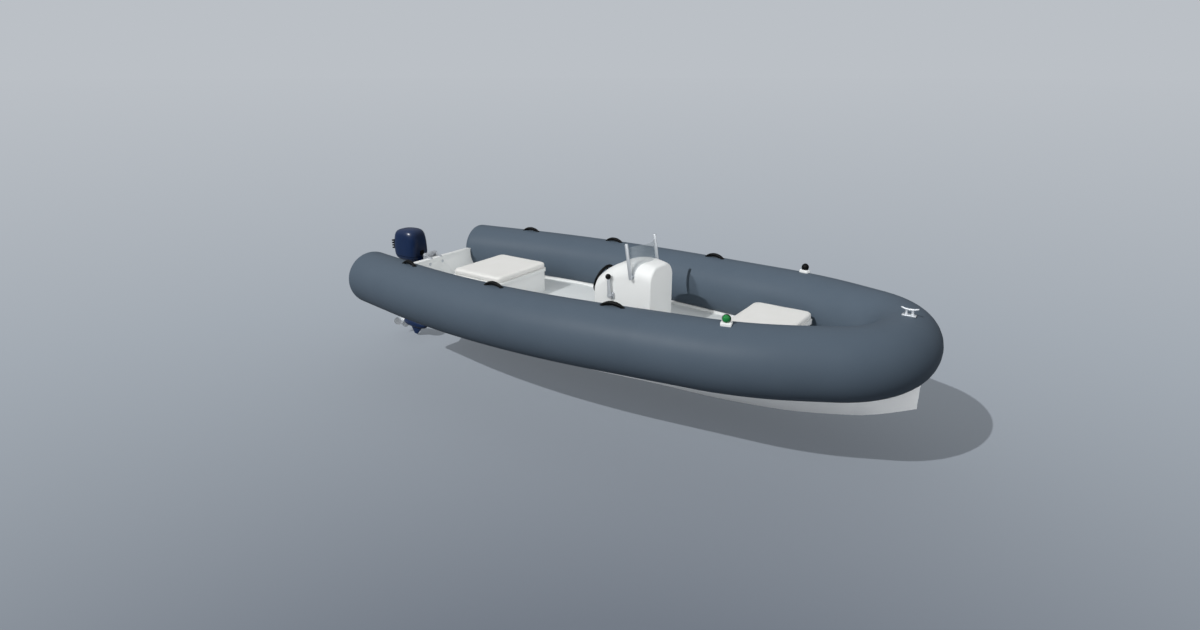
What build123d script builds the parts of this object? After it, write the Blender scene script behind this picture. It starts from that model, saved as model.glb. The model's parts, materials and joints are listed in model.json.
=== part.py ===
from build123d import *
import os
from math import atan2, cos, degrees, radians, sin, sqrt

# Five-metre rigid inflatable boat with an extra-long-shaft outboard, in millimetres.
# +X bow, +Y port, +Z up. The origin is amidships on the centreline at the waterline.
os.makedirs("parts", exist_ok=True)

# ---- clearances shared by everything ----
RUN = 0.05            # radial clearance of a shaft in its bore
REST = 0.3            # gap under a piece that lies on another body
FAR = 2000.0          # reach of a cutting block past everything

# ---- inflated collar ----
TUBE_R = 247.0
STERN_DOME = 87.0     # depth of the rounded stern ends
STERN_RIM = 60.0      # radius at their rims
SEAM_AFT = -700.0     # bulkhead seams between the air chambers
SEAM_FORE = 1000.0
# centreline of the starboard half, stern first: x, half-breadth, z, bend radius
COLLAR = (
    (-2467.0, 733.8, 271.0, 0.0),
    (-892.0, 979.0, 272.0, 8015.0),
    (1324.0, 716.0, 318.0, 2133.0),
    (2139.0, 339.0, 350.0, 524.0),
)

# ---- hull ----
SOLE_Z = 85.0         # top of the cockpit sole
SOLE_T = 15.0
SOLE_FORE = 1500.0    # where the sole meets the rising foredeck
TUCK = 20.0           # how far the hull's edge runs in under the tube
BITE = 45.0           # height of the forward hull edge above the tube's underside
STEM_X = COLLAR[-1][0] + 151.0
STEM_KEEL = -55.0
STEM_HALF = 4.0
TRANSOM_X = -2448.0   # aft face
TRANSOM_T = 45.0
TRANSOM_TOP = 307.0
CAP_T = 8.0
CAP_OVER = 6.0
STRIP_H = 22.0        # upstand of the moulded edge strip beside the sole
STRIP_T = 12.0
# stations: x, keel z, chine z, chine's distance inboard of the collar's centreline
STATIONS = (
    (TRANSOM_X, -400.0, -105.0, 237.0),
    (-1200.0, -406.0, -105.0, 245.0),
    (0.0, -406.0, -105.0, 242.0),
    (700.0, -390.0, -92.0, 240.0),
    (1150.0, -354.0, -62.0, 230.0),
    (SOLE_FORE, -306.0, -30.0, 220.0),
    (1900.0, -217.0, 30.0, 190.0),
)
FOREFOOT = (2080.0, -153.0, 90.0, 75.0)     # x, keel z, chine half-breadth, chine z

# ---- seats: a locker, its lid and a cushion ----
CUSHION_T = 57.0
SEAT_TOP = 375.0
LID_T = 30.0
LID_LIP = 12.0        # overhang of the lid beyond the locker
LOCKER_WALL = 8.0
CUSHION_IN = 8.0      # cushion set in from the lid's edge
CUSHION_R = 22.0
AFT_SEAT = (-1812.0, -1210.0, 355.0, 60.0)       # x aft, x fore, half-width, corner radius
BOW_SEAT_L = 498.0
BOW_SEAT_SET = 82.0   # the bow seat's lid ends this far short of the foredeck
BOW_SEAT = (SOLE_FORE - BOW_SEAT_SET - BOW_SEAT_L, SOLE_FORE - BOW_SEAT_SET, 380.0, 66.0)
HINGE_R = 9.0
HINGE_PIN_R = 4.0
HINGE_GAP = 2.0       # end play between knuckles
HINGE_SPAN = 240.0    # from the centreline to each hinge's middle knuckle
HINGE_SET = 7.0       # the pin lies this far aft of the lid
HINGE_ROOM = 3.0      # air around a knuckle
LEAF_T = 4.5
LEAF_DROP = 18.0      # how far the locker's leaf reaches below the knuckle
KNUCKLE_L = 60.0

# ---- console ----
CONSOLE_AFT = -262.0
CONSOLE_FORE = 266.0
CONSOLE_HALF_AFT = 213.0
CONSOLE_HALF_FORE = 181.0
CONSOLE_CROWN_X = 109.0
CONSOLE_CROWN_Z = 672.0
CONSOLE_CROWN_R = 500.0
CONSOLE_SHOULDER = 120.0
CONSOLE_WALL = 6.0

# ---- helm ----
WHEEL_C = (-318.0, 448.0)       # x, z of the wheel's centre
WHEEL_TILT = 20.0               # shaft below the horizontal, degrees
WHEEL_R = 150.0
WHEEL_GRIP = 11.0
WHEEL_DISH = 8.0
WHEEL_SPOKES = 3
SPOKE_R = 7.0
HUB_R = 32.0
HUB_L = 20.0
SHAFT_R = 10.0
SHAFT_REACH = 25.0              # shaft inside the console
BEZEL_R = 42.0
BEZEL_L = 36.0
NECK_R = 34.0                   # the bezel's neck, in the console's hole
NECK_L = 30.0

# ---- throttle on the console's starboard side ----
THROTTLE_X = -79.0
THROTTLE_Z = 388.0
THROTTLE_BASE = (66.0, 16.0, 50.0)
LEVER_R = 12.5
LEVER_L = 160.0
LEVER_LEAN = 9.0
PIVOT_R = 19.0
KNOB_R = 21.0

# ---- windscreen ----
POST_R = 12.0
POST_Y = 220.0
POST_FOOT = (102.0, 551.0)
POST_TOP = (57.0, 841.0)
PANE_T = 5.0
PANE_BOW = 75.0       # how far the pane bulges forward of its posts
PANE_TOP = 815.0

# ---- fittings on the collar ----
HANDLES = (
    ("starboard", -1, (-1815.0, -743.0, 337.0)),
    ("port", 1, (-1815.0, -799.0, 337.0)),
)
HANDLE_SPAN = 152.0
HANDLE_RISE = 42.0
HANDLE_R = 13.0
HANDLE_PAD_R = 21.0
HANDLE_PAD_T = 5.0
LIGHT_X = 1177.0
LIGHT_LEAN = 8.0      # degrees outboard of the tube's crest
LIGHT_BASE = (72.0, 52.0, 22.0)
LIGHT_CORNER = 14.0
LIGHT_FOOT = 8.0      # how far the base reaches down to the tube's skin
LENS_R = 26.0
LENS_RISE = 20.0      # from the base to the lens's centre
HOOD_R = 31.0
CLEAT_X = 2150.0
CLEAT_BASE = (92.0, 40.0, 9.0)
CLEAT_LEG = 40.0      # distance between the legs
CLEAT_H = 46.0
CLEAT_BAR = (56.0, 8.5)         # length and radius of the horn's middle
CLEAT_HORN = (114.0, 6.5)       # length over its tips, and their radius

# ---- outboard ----
TILT_SET = 40.0       # the tilt tube's distance aft of the transom
TILT_OVER = 29.0      # and above its cap
TILT = (TRANSOM_X - TILT_SET, TRANSOM_TOP + CAP_T + TILT_OVER)
TILT_R = 11.0
TILT_NUT = (17.0, 10.0)         # radius and thickness of the nuts on the tube's ends
TILT_BOSS_R = 19.0
CHEEK_Y = 56.0        # the clamp's cheeks: inner face, thickness, reach aft, foot
CHEEK_T = 14.0
CHEEK_DEEP = 66.0
CHEEK_FOOT = 70.0
LIP_T = 14.0          # the cheek's lip over the cap
LIP_REACH = 4.0
BOLT_Z = (262.0, 130.0)
BOLT_R = 6.0
BOLT_HEAD = (11.0, 8.0)         # radius and height of a hexagon head or nut
WASHER = (16.0, 2.5)
KING_X = -2566.0
KING_R = 14.0
SWIVEL_R = 28.0
SWIVEL_TOP = 240.0
SWIVEL_BOTTOM = -60.0
SWIVEL_HALF = 26.0
SWIVEL_GAP = 2.0      # end play between the swivel's boss and the cheeks
WEB_SET = 18.0        # air between the swivel's web and the transom
YOKE_T = 28.0
YOKE_HALF = 38.0
YOKE_GAP = 7.0
COWL_X = -2765.0
COWL_L = 360.0
COWL_W = 272.0
COWL_CORNER = 124.0
COWL_BOTTOM = 300.0
COWL_TOP = 585.0
COWL_TAPER = 4.0
COWL_DOME = 92.0
COWL_WALL = 4.0
PAN_H = 50.0
PAN_IN = 26.0         # how far the pan's floor is set in from the cowl's rim
PAN_REVEAL = 3.0
POWERHEAD = (210.0, 170.0, 210.0)
INTAKE = (34.0, 120.0, 84.0)
INTAKE_Z = 392.0
RIBS = 4
GROMMET = (24.0, 50.0, 84.0)
GROMMET_Z = 372.0
LEG_X = -2755.0
LEG_CHORD = 190.0
LEG_HALF = 44.0
PLATE_Z = -275.0
PLATE_T = 12.0
PLATE_L = 300.0
PLATE_W = 160.0
PLATE_CORNER = 55.0
PROP_Z = -487.0
TORPEDO_R = 49.0
TORPEDO_AFT = -2972.0
TORPEDO_L = 255.0
NOSE_TAPER = 48.0     # length of the cone before the rounded nose
NOSE_LEAN = radians(12.0)
SKEG = (-2695.0, -2797.0, -2845.0, -2912.0)     # x of its fore top, fore foot, aft foot, aft top
SKEG_BOTTOM = -612.0
SKEG_HALF = 8.0
SHAFT_SEAT = 110.0    # depth of the propeller shaft's bore
PROP_SHAFT_R = 11.0
PROP_R = 116.0
PROP_HUB_R = 34.0
PROP_HUB_L = 78.0
PROP_BLADES = 3
PROP_TURN = 90.0      # the first blade points to starboard
PROP_GAP = 4.0        # between the hub and the gearcase
BLADE_PITCH = 32.0
BLADE_T = 6.0
BLADE_ROOT = (16.0, 20.0)       # half-length and radius of the blade's root
BLADE_FORE = (46.0, 72.0)       # x, radius of its leading edge's middle
BLADE_AFT = (-34.0, 83.0)       # x, radius of its trailing edge's middle
BLADE_TIP = 14.0
NUT_R = 15.0
NUT_L = 26.0


def save(name, shape):
    """Write one sub-part to its own STEP file."""
    export_step(shape, "parts/%s.step" % name)


def joined(solids):
    """Several solids that don't touch, kept as one sub-part."""
    return Compound(children=[s for s in solids])


def block(x0, x1, y0, y1, z0, z1):
    return Pos((x0 + x1) / 2, (y0 + y1) / 2, (z0 + z1) / 2) * Box(x1 - x0, y1 - y0, z1 - z0)


def rod(start, end, radius):
    """A round bar from one point to another."""
    a, b = Vector(*start), Vector(*end)
    return Plane(origin=a, z_dir=b - a) * Cylinder(
        radius, (b - a).length, align=(Align.CENTER, Align.CENTER, Align.MIN))


def side_plate(outline, half, middle=0.0):
    """A plate of x,z outline that stands along the boat, half its thickness each side."""
    face = make_face(Polyline([(x, middle + half, z) for x, z in outline], close=True))
    return extrude(face, amount=2 * half, dir=(0, -1, 0))


def floor_plate(outline, low, high):
    """A plate of x,y outline between two heights."""
    face = make_face(Polyline([(x, y, low) for x, y in outline], close=True))
    return extrude(face, amount=high - low, dir=(0, 0, 1))


def mirrored(shape):
    return mirror(shape, about=Plane.XZ)


# ---- the collar ----
def collar_path():
    """The starboard half of the centreline, from the stern end to the bow."""
    points = [(x, -y, z) for x, y, z, _ in COLLAR]
    bow_x, _, bow_z, _ = COLLAR[-1]
    return FilletPolyline(points + [(bow_x, 0, bow_z)], radius=[r for *_, r in COLLAR[1:]])


path = collar_path().wire()


def collar_at(x):
    """Half-breadth and height of the collar's centreline at a station."""
    low, high = 0.0, 1.0
    for _ in range(40):
        middle = (low + high) / 2
        if (path @ middle).X < x:
            low = middle
        else:
            high = middle
    point = path @ low
    return -point.Y, point.Z


def inner_wall(x, z):
    """Half-breadth of the tube's inner wall at a station and height."""
    half, centre = collar_at(x)
    return half - sqrt(max(TUBE_R ** 2 - (centre - z) ** 2, 0.0))


def crest(x, side, lean):
    """Plane on the tube's skin, its normal leaning outboard by lean degrees; side is +1 to port."""
    half, centre = collar_at(x)
    ahead, _ = collar_at(x + 1.0)
    behind, _ = collar_at(x - 1.0)
    run = Vector(2.0, side * (ahead - behind), 0).normalized()
    out = Vector(-run.Y, run.X, 0) * side
    normal = Vector(0, 0, cos(radians(lean))) + out * sin(radians(lean))
    origin = Vector(x, side * half, centre) + normal * TUBE_R
    return Plane(origin=origin, x_dir=run, z_dir=normal)


def collar_span(edge):
    """One straight or evenly curved stretch of the tube."""
    start, run = edge @ 0, edge % 0
    section = Plane(origin=start, z_dir=run) * Circle(TUBE_R)
    if edge.geom_type == GeomType.LINE:
        return extrude(section, amount=edge.length)
    centre = edge.arc_center
    axle = (start - centre).cross(run).normalized()
    return revolve(section, axis=Axis(centre, axle), revolution_arc=degrees(edge.length / edge.radius))


def make_collar():
    spans = [Part() + collar_span(edge) for edge in path.edges()]
    starboard = spans[0]
    for span in spans[1:]:
        starboard += span
    return starboard + mirrored(starboard)


def dome(radius, depth, rim):
    """A dome on the XY plane, its pole at +Z: a rim arc that runs on into a flatter crown arc."""
    flat = (radius ** 2 - 2 * radius * rim + depth ** 2) / (2 * (depth - rim))
    span = flat - rim
    joint = (radius - rim + rim * (radius - rim) / span, rim * (flat - depth) / span)
    half = atan2(joint[1], joint[0] - radius + rim) / 2
    turn = atan2(joint[0], flat - depth + joint[1]) / 2
    quarter = make_face([
        Line((0, 0), (radius, 0)),
        ThreePointArc((radius, 0), (radius - rim + rim * cos(half), rim * sin(half)), joint),
        ThreePointArc(joint, (flat * sin(turn), depth - flat + flat * cos(turn)), (0, depth)),
        Line((0, depth), (0, 0)),
    ])
    return Rot(90, 0, 0) * revolve(quarter, axis=Axis.Y)


collar = make_collar()
stern_dome = Plane(origin=path @ 0, z_dir=(path % 0) * -1) * dome(TUBE_R, STERN_DOME, STERN_RIM)


def beside_tubes(shape):
    """What is left of a shape where the collar and its stern ends don't reach."""
    return shape - collar - stern_dome - mirrored(stern_dome)


def chamber(x0, x1, side):
    """The stretch of collar between two stations, on one side or (side 0) right across the bow."""
    y0, y1 = (-FAR, FAR) if side == 0 else sorted((0.0, side * FAR))
    return collar & block(x0, x1, y0, y1, -FAR, FAR)


def torpedo_form(radius, barrel, taper, lean):
    """A round barrel on the XY plane that runs on along +Z, narrows through a cone and ends in a ball."""
    ball = radius - taper * sin(lean) / cos(lean)
    reach = ball / cos(lean)
    centre = barrel + taper - reach * sin(lean)
    turn = (radians(90) + lean) / 2
    quarter = make_face([
        Line((0, 0), (radius, 0)),
        Line((radius, 0), (radius, barrel)),
        Line((radius, barrel), (ball, barrel + taper)),
        ThreePointArc((ball, barrel + taper), (reach * cos(turn), centre + reach * sin(turn)),
                      (0, centre + reach)),
        Line((0, centre + reach), (0, 0)),
    ])
    return Rot(90, 0, 0) * revolve(quarter, axis=Axis.Y)


def build_collar():
    stern = COLLAR[0][0] - TUBE_R
    save("tube_stern_starboard", chamber(stern, SEAM_AFT, -1))
    save("tube_stern_port", chamber(stern, SEAM_AFT, 1))
    save("tube_side_starboard", chamber(SEAM_AFT, SEAM_FORE, -1))
    save("tube_side_port", chamber(SEAM_AFT, SEAM_FORE, 1))
    save("tube_bow", chamber(SEAM_FORE, COLLAR[-1][0] + 2 * TUBE_R, 0))
    save("tube_stern_ends", joined([stern_dome, mirrored(stern_dome)]))


# ---- the hull ----
def shelf_at(x):
    """Half-breadth and height of the hull's upper edge, inside the tube's skin."""
    _, centre = collar_at(x)
    z = SOLE_Z - SOLE_T if x <= SOLE_FORE else centre - TUBE_R + BITE
    return inner_wall(x, z) + TUCK, z


def hull_sections():
    for x, keel, chine_z, chine_in in STATIONS:
        half, _ = collar_at(x)
        yield (x, keel, half - chine_in, chine_z) + shelf_at(x)
    x, keel, chine_half, chine_z = FOREFOOT
    yield (x, keel, chine_half, chine_z) + shelf_at(x)
    _, centre = collar_at(COLLAR[-1][0])
    under = centre - sqrt(TUBE_R ** 2 - (STEM_X - COLLAR[-1][0]) ** 2)
    yield STEM_X, STEM_KEEL, STEM_HALF / 2, under - BITE, STEM_HALF, under + BITE


def section_face(x, keel, chine_y, chine_z, shelf_y, shelf_z):
    half = [(chine_y, chine_z), (shelf_y, shelf_z)]
    ring = [(x, 0, keel)] + [(x, y, z) for y, z in half] + [(x, -y, z) for y, z in reversed(half)]
    return make_face(Polyline(ring, close=True))


def bolt_places():
    """y, z of the bolts that hold the clamp's cheeks to the transom."""
    return [(side * (CHEEK_Y + 2 * CHEEK_T), z) for side in (-1, 1) for z in BOLT_Z]


def build_hull():
    sections = list(hull_sections())
    bottom = loft([section_face(*s) for s in sections], ruled=True)
    hull = bottom & block(TRANSOM_X + TRANSOM_T, STEM_X, -FAR, FAR, -FAR, FAR)
    save("hull", hull - collar)

    x, keel, chine_y, chine_z, shelf_y, shelf_z = sections[0]
    wing = inner_wall(x, TRANSOM_TOP) + TUCK
    ring = [(0, keel), (chine_y, chine_z), (shelf_y, shelf_z), (wing, TRANSOM_TOP)]
    ring += [(-y, z) for y, z in reversed(ring[1:])]
    board = extrude(make_face(Polyline([(x, y, z) for y, z in ring], close=True)),
                    amount=TRANSOM_T, dir=(1, 0, 0))
    for y, z in bolt_places():
        board -= rod((x - 1, y, z), (x + TRANSOM_T + 1, y, z), BOLT_R)
    save("transom", beside_tubes(board))
    cap = block(x - CAP_OVER, x + TRANSOM_T + CAP_OVER, -wing, wing, TRANSOM_TOP, TRANSOM_TOP + CAP_T)
    save("transom_cap", beside_tubes(cap))

    fore = [s[0] for s in sections if TRANSOM_X < s[0] <= SOLE_FORE]
    stations = [TRANSOM_X + TRANSOM_T] + fore
    edge = [(s, inner_wall(s, SOLE_Z - SOLE_T) + TUCK) for s in stations]
    outline = edge + [(s, -y) for s, y in reversed(edge)]
    save("cockpit_sole", floor_plate(outline, SOLE_Z - SOLE_T, SOLE_Z) - collar)

    top = SOLE_Z + STRIP_H
    inner = [(s, inner_wall(s, top) - STRIP_T) for s in stations]
    strip = floor_plate(edge + inner[::-1], SOLE_Z, top) - collar
    save("sole_edge_strips", joined([strip, mirrored(strip)]))


# ---- seats ----
def rounded_plan(x0, x1, half, corner, z0, z1, fore_only=False):
    """A plate with rounded corners in plan."""
    plate = block(x0, x1, -half, half, z0, z1)
    corners = plate.edges().filter_by(Axis.Z)
    if fore_only:
        corners = corners.group_by(Axis.X)[-1]
    return fillet(corners, corner)


def build_seat(name, x0, x1, half, corner, fore_only):
    lid_top = SEAT_TOP - CUSHION_T
    lid_low = lid_top - LID_T
    locker_corner = corner - LID_LIP
    room_corner = locker_corner - LOCKER_WALL
    pin_x, pin_z = x0 - HINGE_SET, lid_low

    def across(y, radius, length):
        return Pos(pin_x, y, pin_z) * Rot(90, 0, 0) * Cylinder(radius, length)

    locker = rounded_plan(x0 + LID_LIP, x1 - LID_LIP, half - LID_LIP, locker_corner, SOLE_Z, lid_low, fore_only)
    wall = LID_LIP + LOCKER_WALL
    locker -= rounded_plan(x0 + wall, x1 - wall, half - wall, room_corner, SOLE_Z + LOCKER_WALL,
                           lid_top, fore_only)
    lid = rounded_plan(x0, x1, half, corner, lid_low + REST, lid_top, fore_only)
    pins = []
    for y in (-HINGE_SPAN, HINGE_SPAN):
        clear = across(y, HINGE_R + HINGE_ROOM, 3 * KNUCKLE_L + 8 * HINGE_GAP)
        locker -= clear
        lid -= clear
        for step in (-1, 1):
            middle = y + step * (KNUCKLE_L + HINGE_GAP)
            leaf = block(pin_x, x0 + wall, middle - KNUCKLE_L / 2, middle + KNUCKLE_L / 2,
                         pin_z - LEAF_DROP - LEAF_T, pin_z - LEAF_T)
            locker += leaf - across(middle, HINGE_R - 1, 2 * KNUCKLE_L)
            locker += across(middle, HINGE_R, KNUCKLE_L) - across(middle, HINGE_PIN_R, 2 * KNUCKLE_L)
        leaf = block(pin_x, x0 + HINGE_R + LID_LIP, y - KNUCKLE_L / 2, y + KNUCKLE_L / 2,
                     pin_z + REST, pin_z + HINGE_R - 1)
        lid += leaf - across(y, HINGE_R - 1, 2 * KNUCKLE_L)
        lid += across(y, HINGE_R, KNUCKLE_L) - across(y, HINGE_PIN_R + RUN, 2 * KNUCKLE_L)
        pins.append(across(y, HINGE_PIN_R, 3 * KNUCKLE_L + 2 * HINGE_GAP))
    cushion = rounded_plan(x0 + CUSHION_IN, x1 - CUSHION_IN, half - CUSHION_IN, corner - CUSHION_IN,
                           lid_top, SEAT_TOP, fore_only)
    cushion = fillet(cushion.faces().sort_by(Axis.Z)[-1].edges(), CUSHION_R)
    save(name + "_locker", locker)
    save(name + "_lid", lid)
    save(name + "_hinge_pins", joined(pins))
    save(name + "_cushion", cushion)


# ---- console ----
def console_form(wall):
    """The console's outside, or its inside when wall is the shell's thickness."""
    x0, x1 = CONSOLE_AFT + wall, CONSOLE_FORE - wall
    radius = CONSOLE_CROWN_R - wall
    centre_z = CONSOLE_CROWN_Z - CONSOLE_CROWN_R

    def crown(x):
        return centre_z + sqrt(radius ** 2 - (x - CONSOLE_CROWN_X) ** 2)

    low = SOLE_Z - wall
    outline = make_face([
        Line((x0, 0, low), (x0, 0, crown(x0))),
        ThreePointArc((x0, 0, crown(x0)), (CONSOLE_CROWN_X, 0, centre_z + radius), (x1, 0, crown(x1))),
        Line((x1, 0, crown(x1)), (x1, 0, low)),
        Line((x1, 0, low), (x0, 0, low)),
    ])
    form = extrude(outline, amount=CONSOLE_HALF_AFT * 2, both=True, dir=(0, 1, 0))
    aft, fore = CONSOLE_HALF_AFT - wall, CONSOLE_HALF_FORE - wall
    plan = [(CONSOLE_AFT, aft), (CONSOLE_FORE, fore), (CONSOLE_FORE, -fore), (CONSOLE_AFT, -aft)]
    form = form & floor_plate(plan, low - wall, CONSOLE_CROWN_Z + wall)
    crowns = [e for e in form.edges() if e.geom_type != GeomType.LINE and abs(e.center().Y) > fore / 2]
    return fillet(crowns, CONSOLE_SHOULDER - wall)


def console_side(x):
    """Half-breadth of the console's side at a station."""
    share = (x - CONSOLE_AFT) / (CONSOLE_FORE - CONSOLE_AFT)
    return CONSOLE_HALF_AFT + share * (CONSOLE_HALF_FORE - CONSOLE_HALF_AFT)


shaft_dir = Vector(cos(radians(WHEEL_TILT)), 0, -sin(radians(WHEEL_TILT)))
wheel_centre = Vector(WHEEL_C[0], 0, WHEEL_C[1])
shaft_in = (CONSOLE_AFT + CONSOLE_WALL - WHEEL_C[0]) / cos(radians(WHEEL_TILT))


def on_shaft(reach):
    """A point on the wheel's shaft, forward of the rim's plane."""
    return wheel_centre + shaft_dir * reach


def build_console():
    outside = console_form(0.0)
    shell = outside - console_form(CONSOLE_WALL)
    start, end = on_shaft(shaft_in - BEZEL_L), on_shaft(shaft_in + NECK_L)
    save("console", shell - rod(wheel_centre, end, NECK_R))

    aft_of = block(CONSOLE_AFT - FAR, CONSOLE_AFT, -FAR, FAR, -FAR, FAR)
    flange = rod(start, end, BEZEL_R) & aft_of
    neck = rod(start, end, NECK_R) - aft_of
    save("helm_bezel", flange + neck - rod(wheel_centre, end + shaft_dir, SHAFT_R + RUN))

    posts = []
    for side in (-1, 1):
        post = rod((POST_FOOT[0], side * POST_Y, POST_FOOT[1]), (POST_TOP[0], side * POST_Y, POST_TOP[1]), POST_R)
        face = side * console_side(POST_FOOT[0])
        stub = rod((POST_FOOT[0], face - side * POST_R, POST_FOOT[1] + POST_R),
                   (POST_FOOT[0], side * POST_Y, POST_FOOT[1] + POST_R), POST_R - 1)
        posts.append(post - outside + (stub - outside))
    save("windscreen_posts", joined(posts))

    rise = POST_TOP[1] - POST_FOOT[1]
    drift = POST_TOP[0] - POST_FOOT[0]
    inner_y = POST_Y - POST_R / 2
    outline = make_face([
        ThreePointArc((0, -inner_y, 0), (PANE_BOW, 0, 0), (0, inner_y, 0)),
        Line((0, inner_y, 0), (-PANE_T, inner_y, 0)),
        ThreePointArc((-PANE_T, inner_y, 0), (PANE_BOW - PANE_T, 0, 0), (-PANE_T, -inner_y, 0)),
        Line((-PANE_T, -inner_y, 0), (0, -inner_y, 0)),
    ])
    foot = Vector(POST_FOOT[0] + PANE_T / 2, 0, POST_FOOT[1])
    along = Vector(drift, 0, rise).normalized()
    pane = extrude(outline.moved(Location(foot)), amount=(PANE_TOP - POST_FOOT[1]) / along.Z, dir=along)
    save("windscreen_pane", pane - outside - posts[0] - posts[1])


def build_wheel():
    plane = Plane(origin=wheel_centre, z_dir=shaft_dir, x_dir=(0, 1, 0))
    rim_r = WHEEL_R - WHEEL_GRIP
    wheel = Torus(rim_r, WHEEL_GRIP) + Pos(0, 0, WHEEL_DISH) * Cylinder(HUB_R, HUB_L)
    for k in range(WHEEL_SPOKES):
        turn = radians(90 + 360 / WHEEL_SPOKES * k)
        wheel += rod((cos(turn) * HUB_R / 2, sin(turn) * HUB_R / 2, WHEEL_DISH),
                     (cos(turn) * rim_r, sin(turn) * rim_r, 0), SPOKE_R)
    wheel += rod((0, 0, WHEEL_DISH), (0, 0, shaft_in + SHAFT_REACH), SHAFT_R)
    save("steering_wheel", plane * wheel)


def build_throttle():
    length, depth, height = THROTTLE_BASE
    side = -console_side(THROTTLE_X)
    base = block(THROTTLE_X - length / 2, THROTTLE_X + length / 2, side - depth, side + depth,
                 THROTTLE_Z - height / 2, THROTTLE_Z + height / 2)
    base = fillet(base.edges().filter_by(Axis.Y), height / 2 - 1) - console_form(0.0)
    save("throttle_base", base)
    y = side - depth - LEVER_R
    lean = radians(LEVER_LEAN)
    top = (THROTTLE_X - sin(lean) * LEVER_L, y, THROTTLE_Z + cos(lean) * LEVER_L)
    pivot = rod((THROTTLE_X, side - depth, THROTTLE_Z), (THROTTLE_X, y - LEVER_R, THROTTLE_Z), PIVOT_R)
    knob = Pos(*top) * Sphere(KNOB_R)
    save("throttle_lever", pivot + rod((THROTTLE_X, y, THROTTLE_Z), top, LEVER_R) - knob)
    save("throttle_knob", knob)


# ---- fittings on the collar ----
def handle(x, side):
    place = crest(x, side, 0.0)
    half = HANDLE_SPAN / 2
    arc = ThreePointArc((-half, 0, -HANDLE_R), (0, 0, HANDLE_RISE), (half, 0, -HANDLE_R))
    arch = sweep(Plane(origin=arc @ 0, z_dir=arc % 0) * Circle(HANDLE_R), path=arc)
    solid = arch
    for end in (-half, half):
        solid += Pos(end, 0, 0) * Cylinder(HANDLE_PAD_R, 2 * HANDLE_PAD_T)
    return place * solid - collar


def nav_light(side):
    """A light's base, its round lens, and the dark half-shell that shades it inboard."""
    place = crest(LIGHT_X, side, LIGHT_LEAN)
    length, width, height = LIGHT_BASE
    base = block(-length / 2, length / 2, -width / 2, width / 2, -LIGHT_FOOT, height)
    base = place * fillet(base.edges().filter_by(Axis.Z), LIGHT_CORNER) - collar
    above = block(-FAR, FAR, -FAR, FAR, height, FAR)
    lens = Pos(0, 0, height + LENS_RISE) * Sphere(LENS_R)
    inboard = block(-FAR, FAR, *sorted((0.0, -side * FAR)), height, FAR)
    hood = Pos(0, 0, height + LENS_RISE) * Sphere(HOOD_R)
    return base, place * (lens & above), place * (hood & inboard - lens)


def build_fittings():
    for name, side, stations in HANDLES:
        save("grab_handles_" + name, joined([handle(x, side) for x in stations]))
    bases, hoods = [], []
    for colour, side in (("green", -1), ("red", 1)):
        base, lens, hood = nav_light(side)
        bases.append(base)
        hoods.append(hood)
        save("nav_lens_" + colour, lens)
    save("nav_light_bases", joined(bases))
    save("nav_light_hoods", joined(hoods))

    _, centre = collar_at(COLLAR[-1][0])
    top = centre + TUBE_R
    length, width, thick = CLEAT_BASE
    base = block(CLEAT_X - length / 2, CLEAT_X + length / 2, -width / 2, width / 2, top - thick, top + thick)
    cleat = fillet(base.edges().filter_by(Axis.Z), width / 2 - 1) - collar
    for end in (-1, 1):
        x = CLEAT_X + end * CLEAT_LEG / 2
        cleat += rod((x, 0, top + thick - 1), (x, 0, top + CLEAT_H), CLEAT_HORN[1])
    for length, radius in (CLEAT_BAR, CLEAT_HORN):
        cleat += rod((CLEAT_X - length / 2, 0, top + CLEAT_H), (CLEAT_X + length / 2, 0, top + CLEAT_H), radius)
    save("bow_cleat", cleat)


# ---- outboard: bracket ----
def hexagon(start, end, radius):
    """A hexagon head or nut between two points."""
    a, b = Vector(*start), Vector(*end)
    return Plane(origin=a, z_dir=b - a) * extrude(RegularPolygon(radius, 6), amount=(b - a).length)


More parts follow.
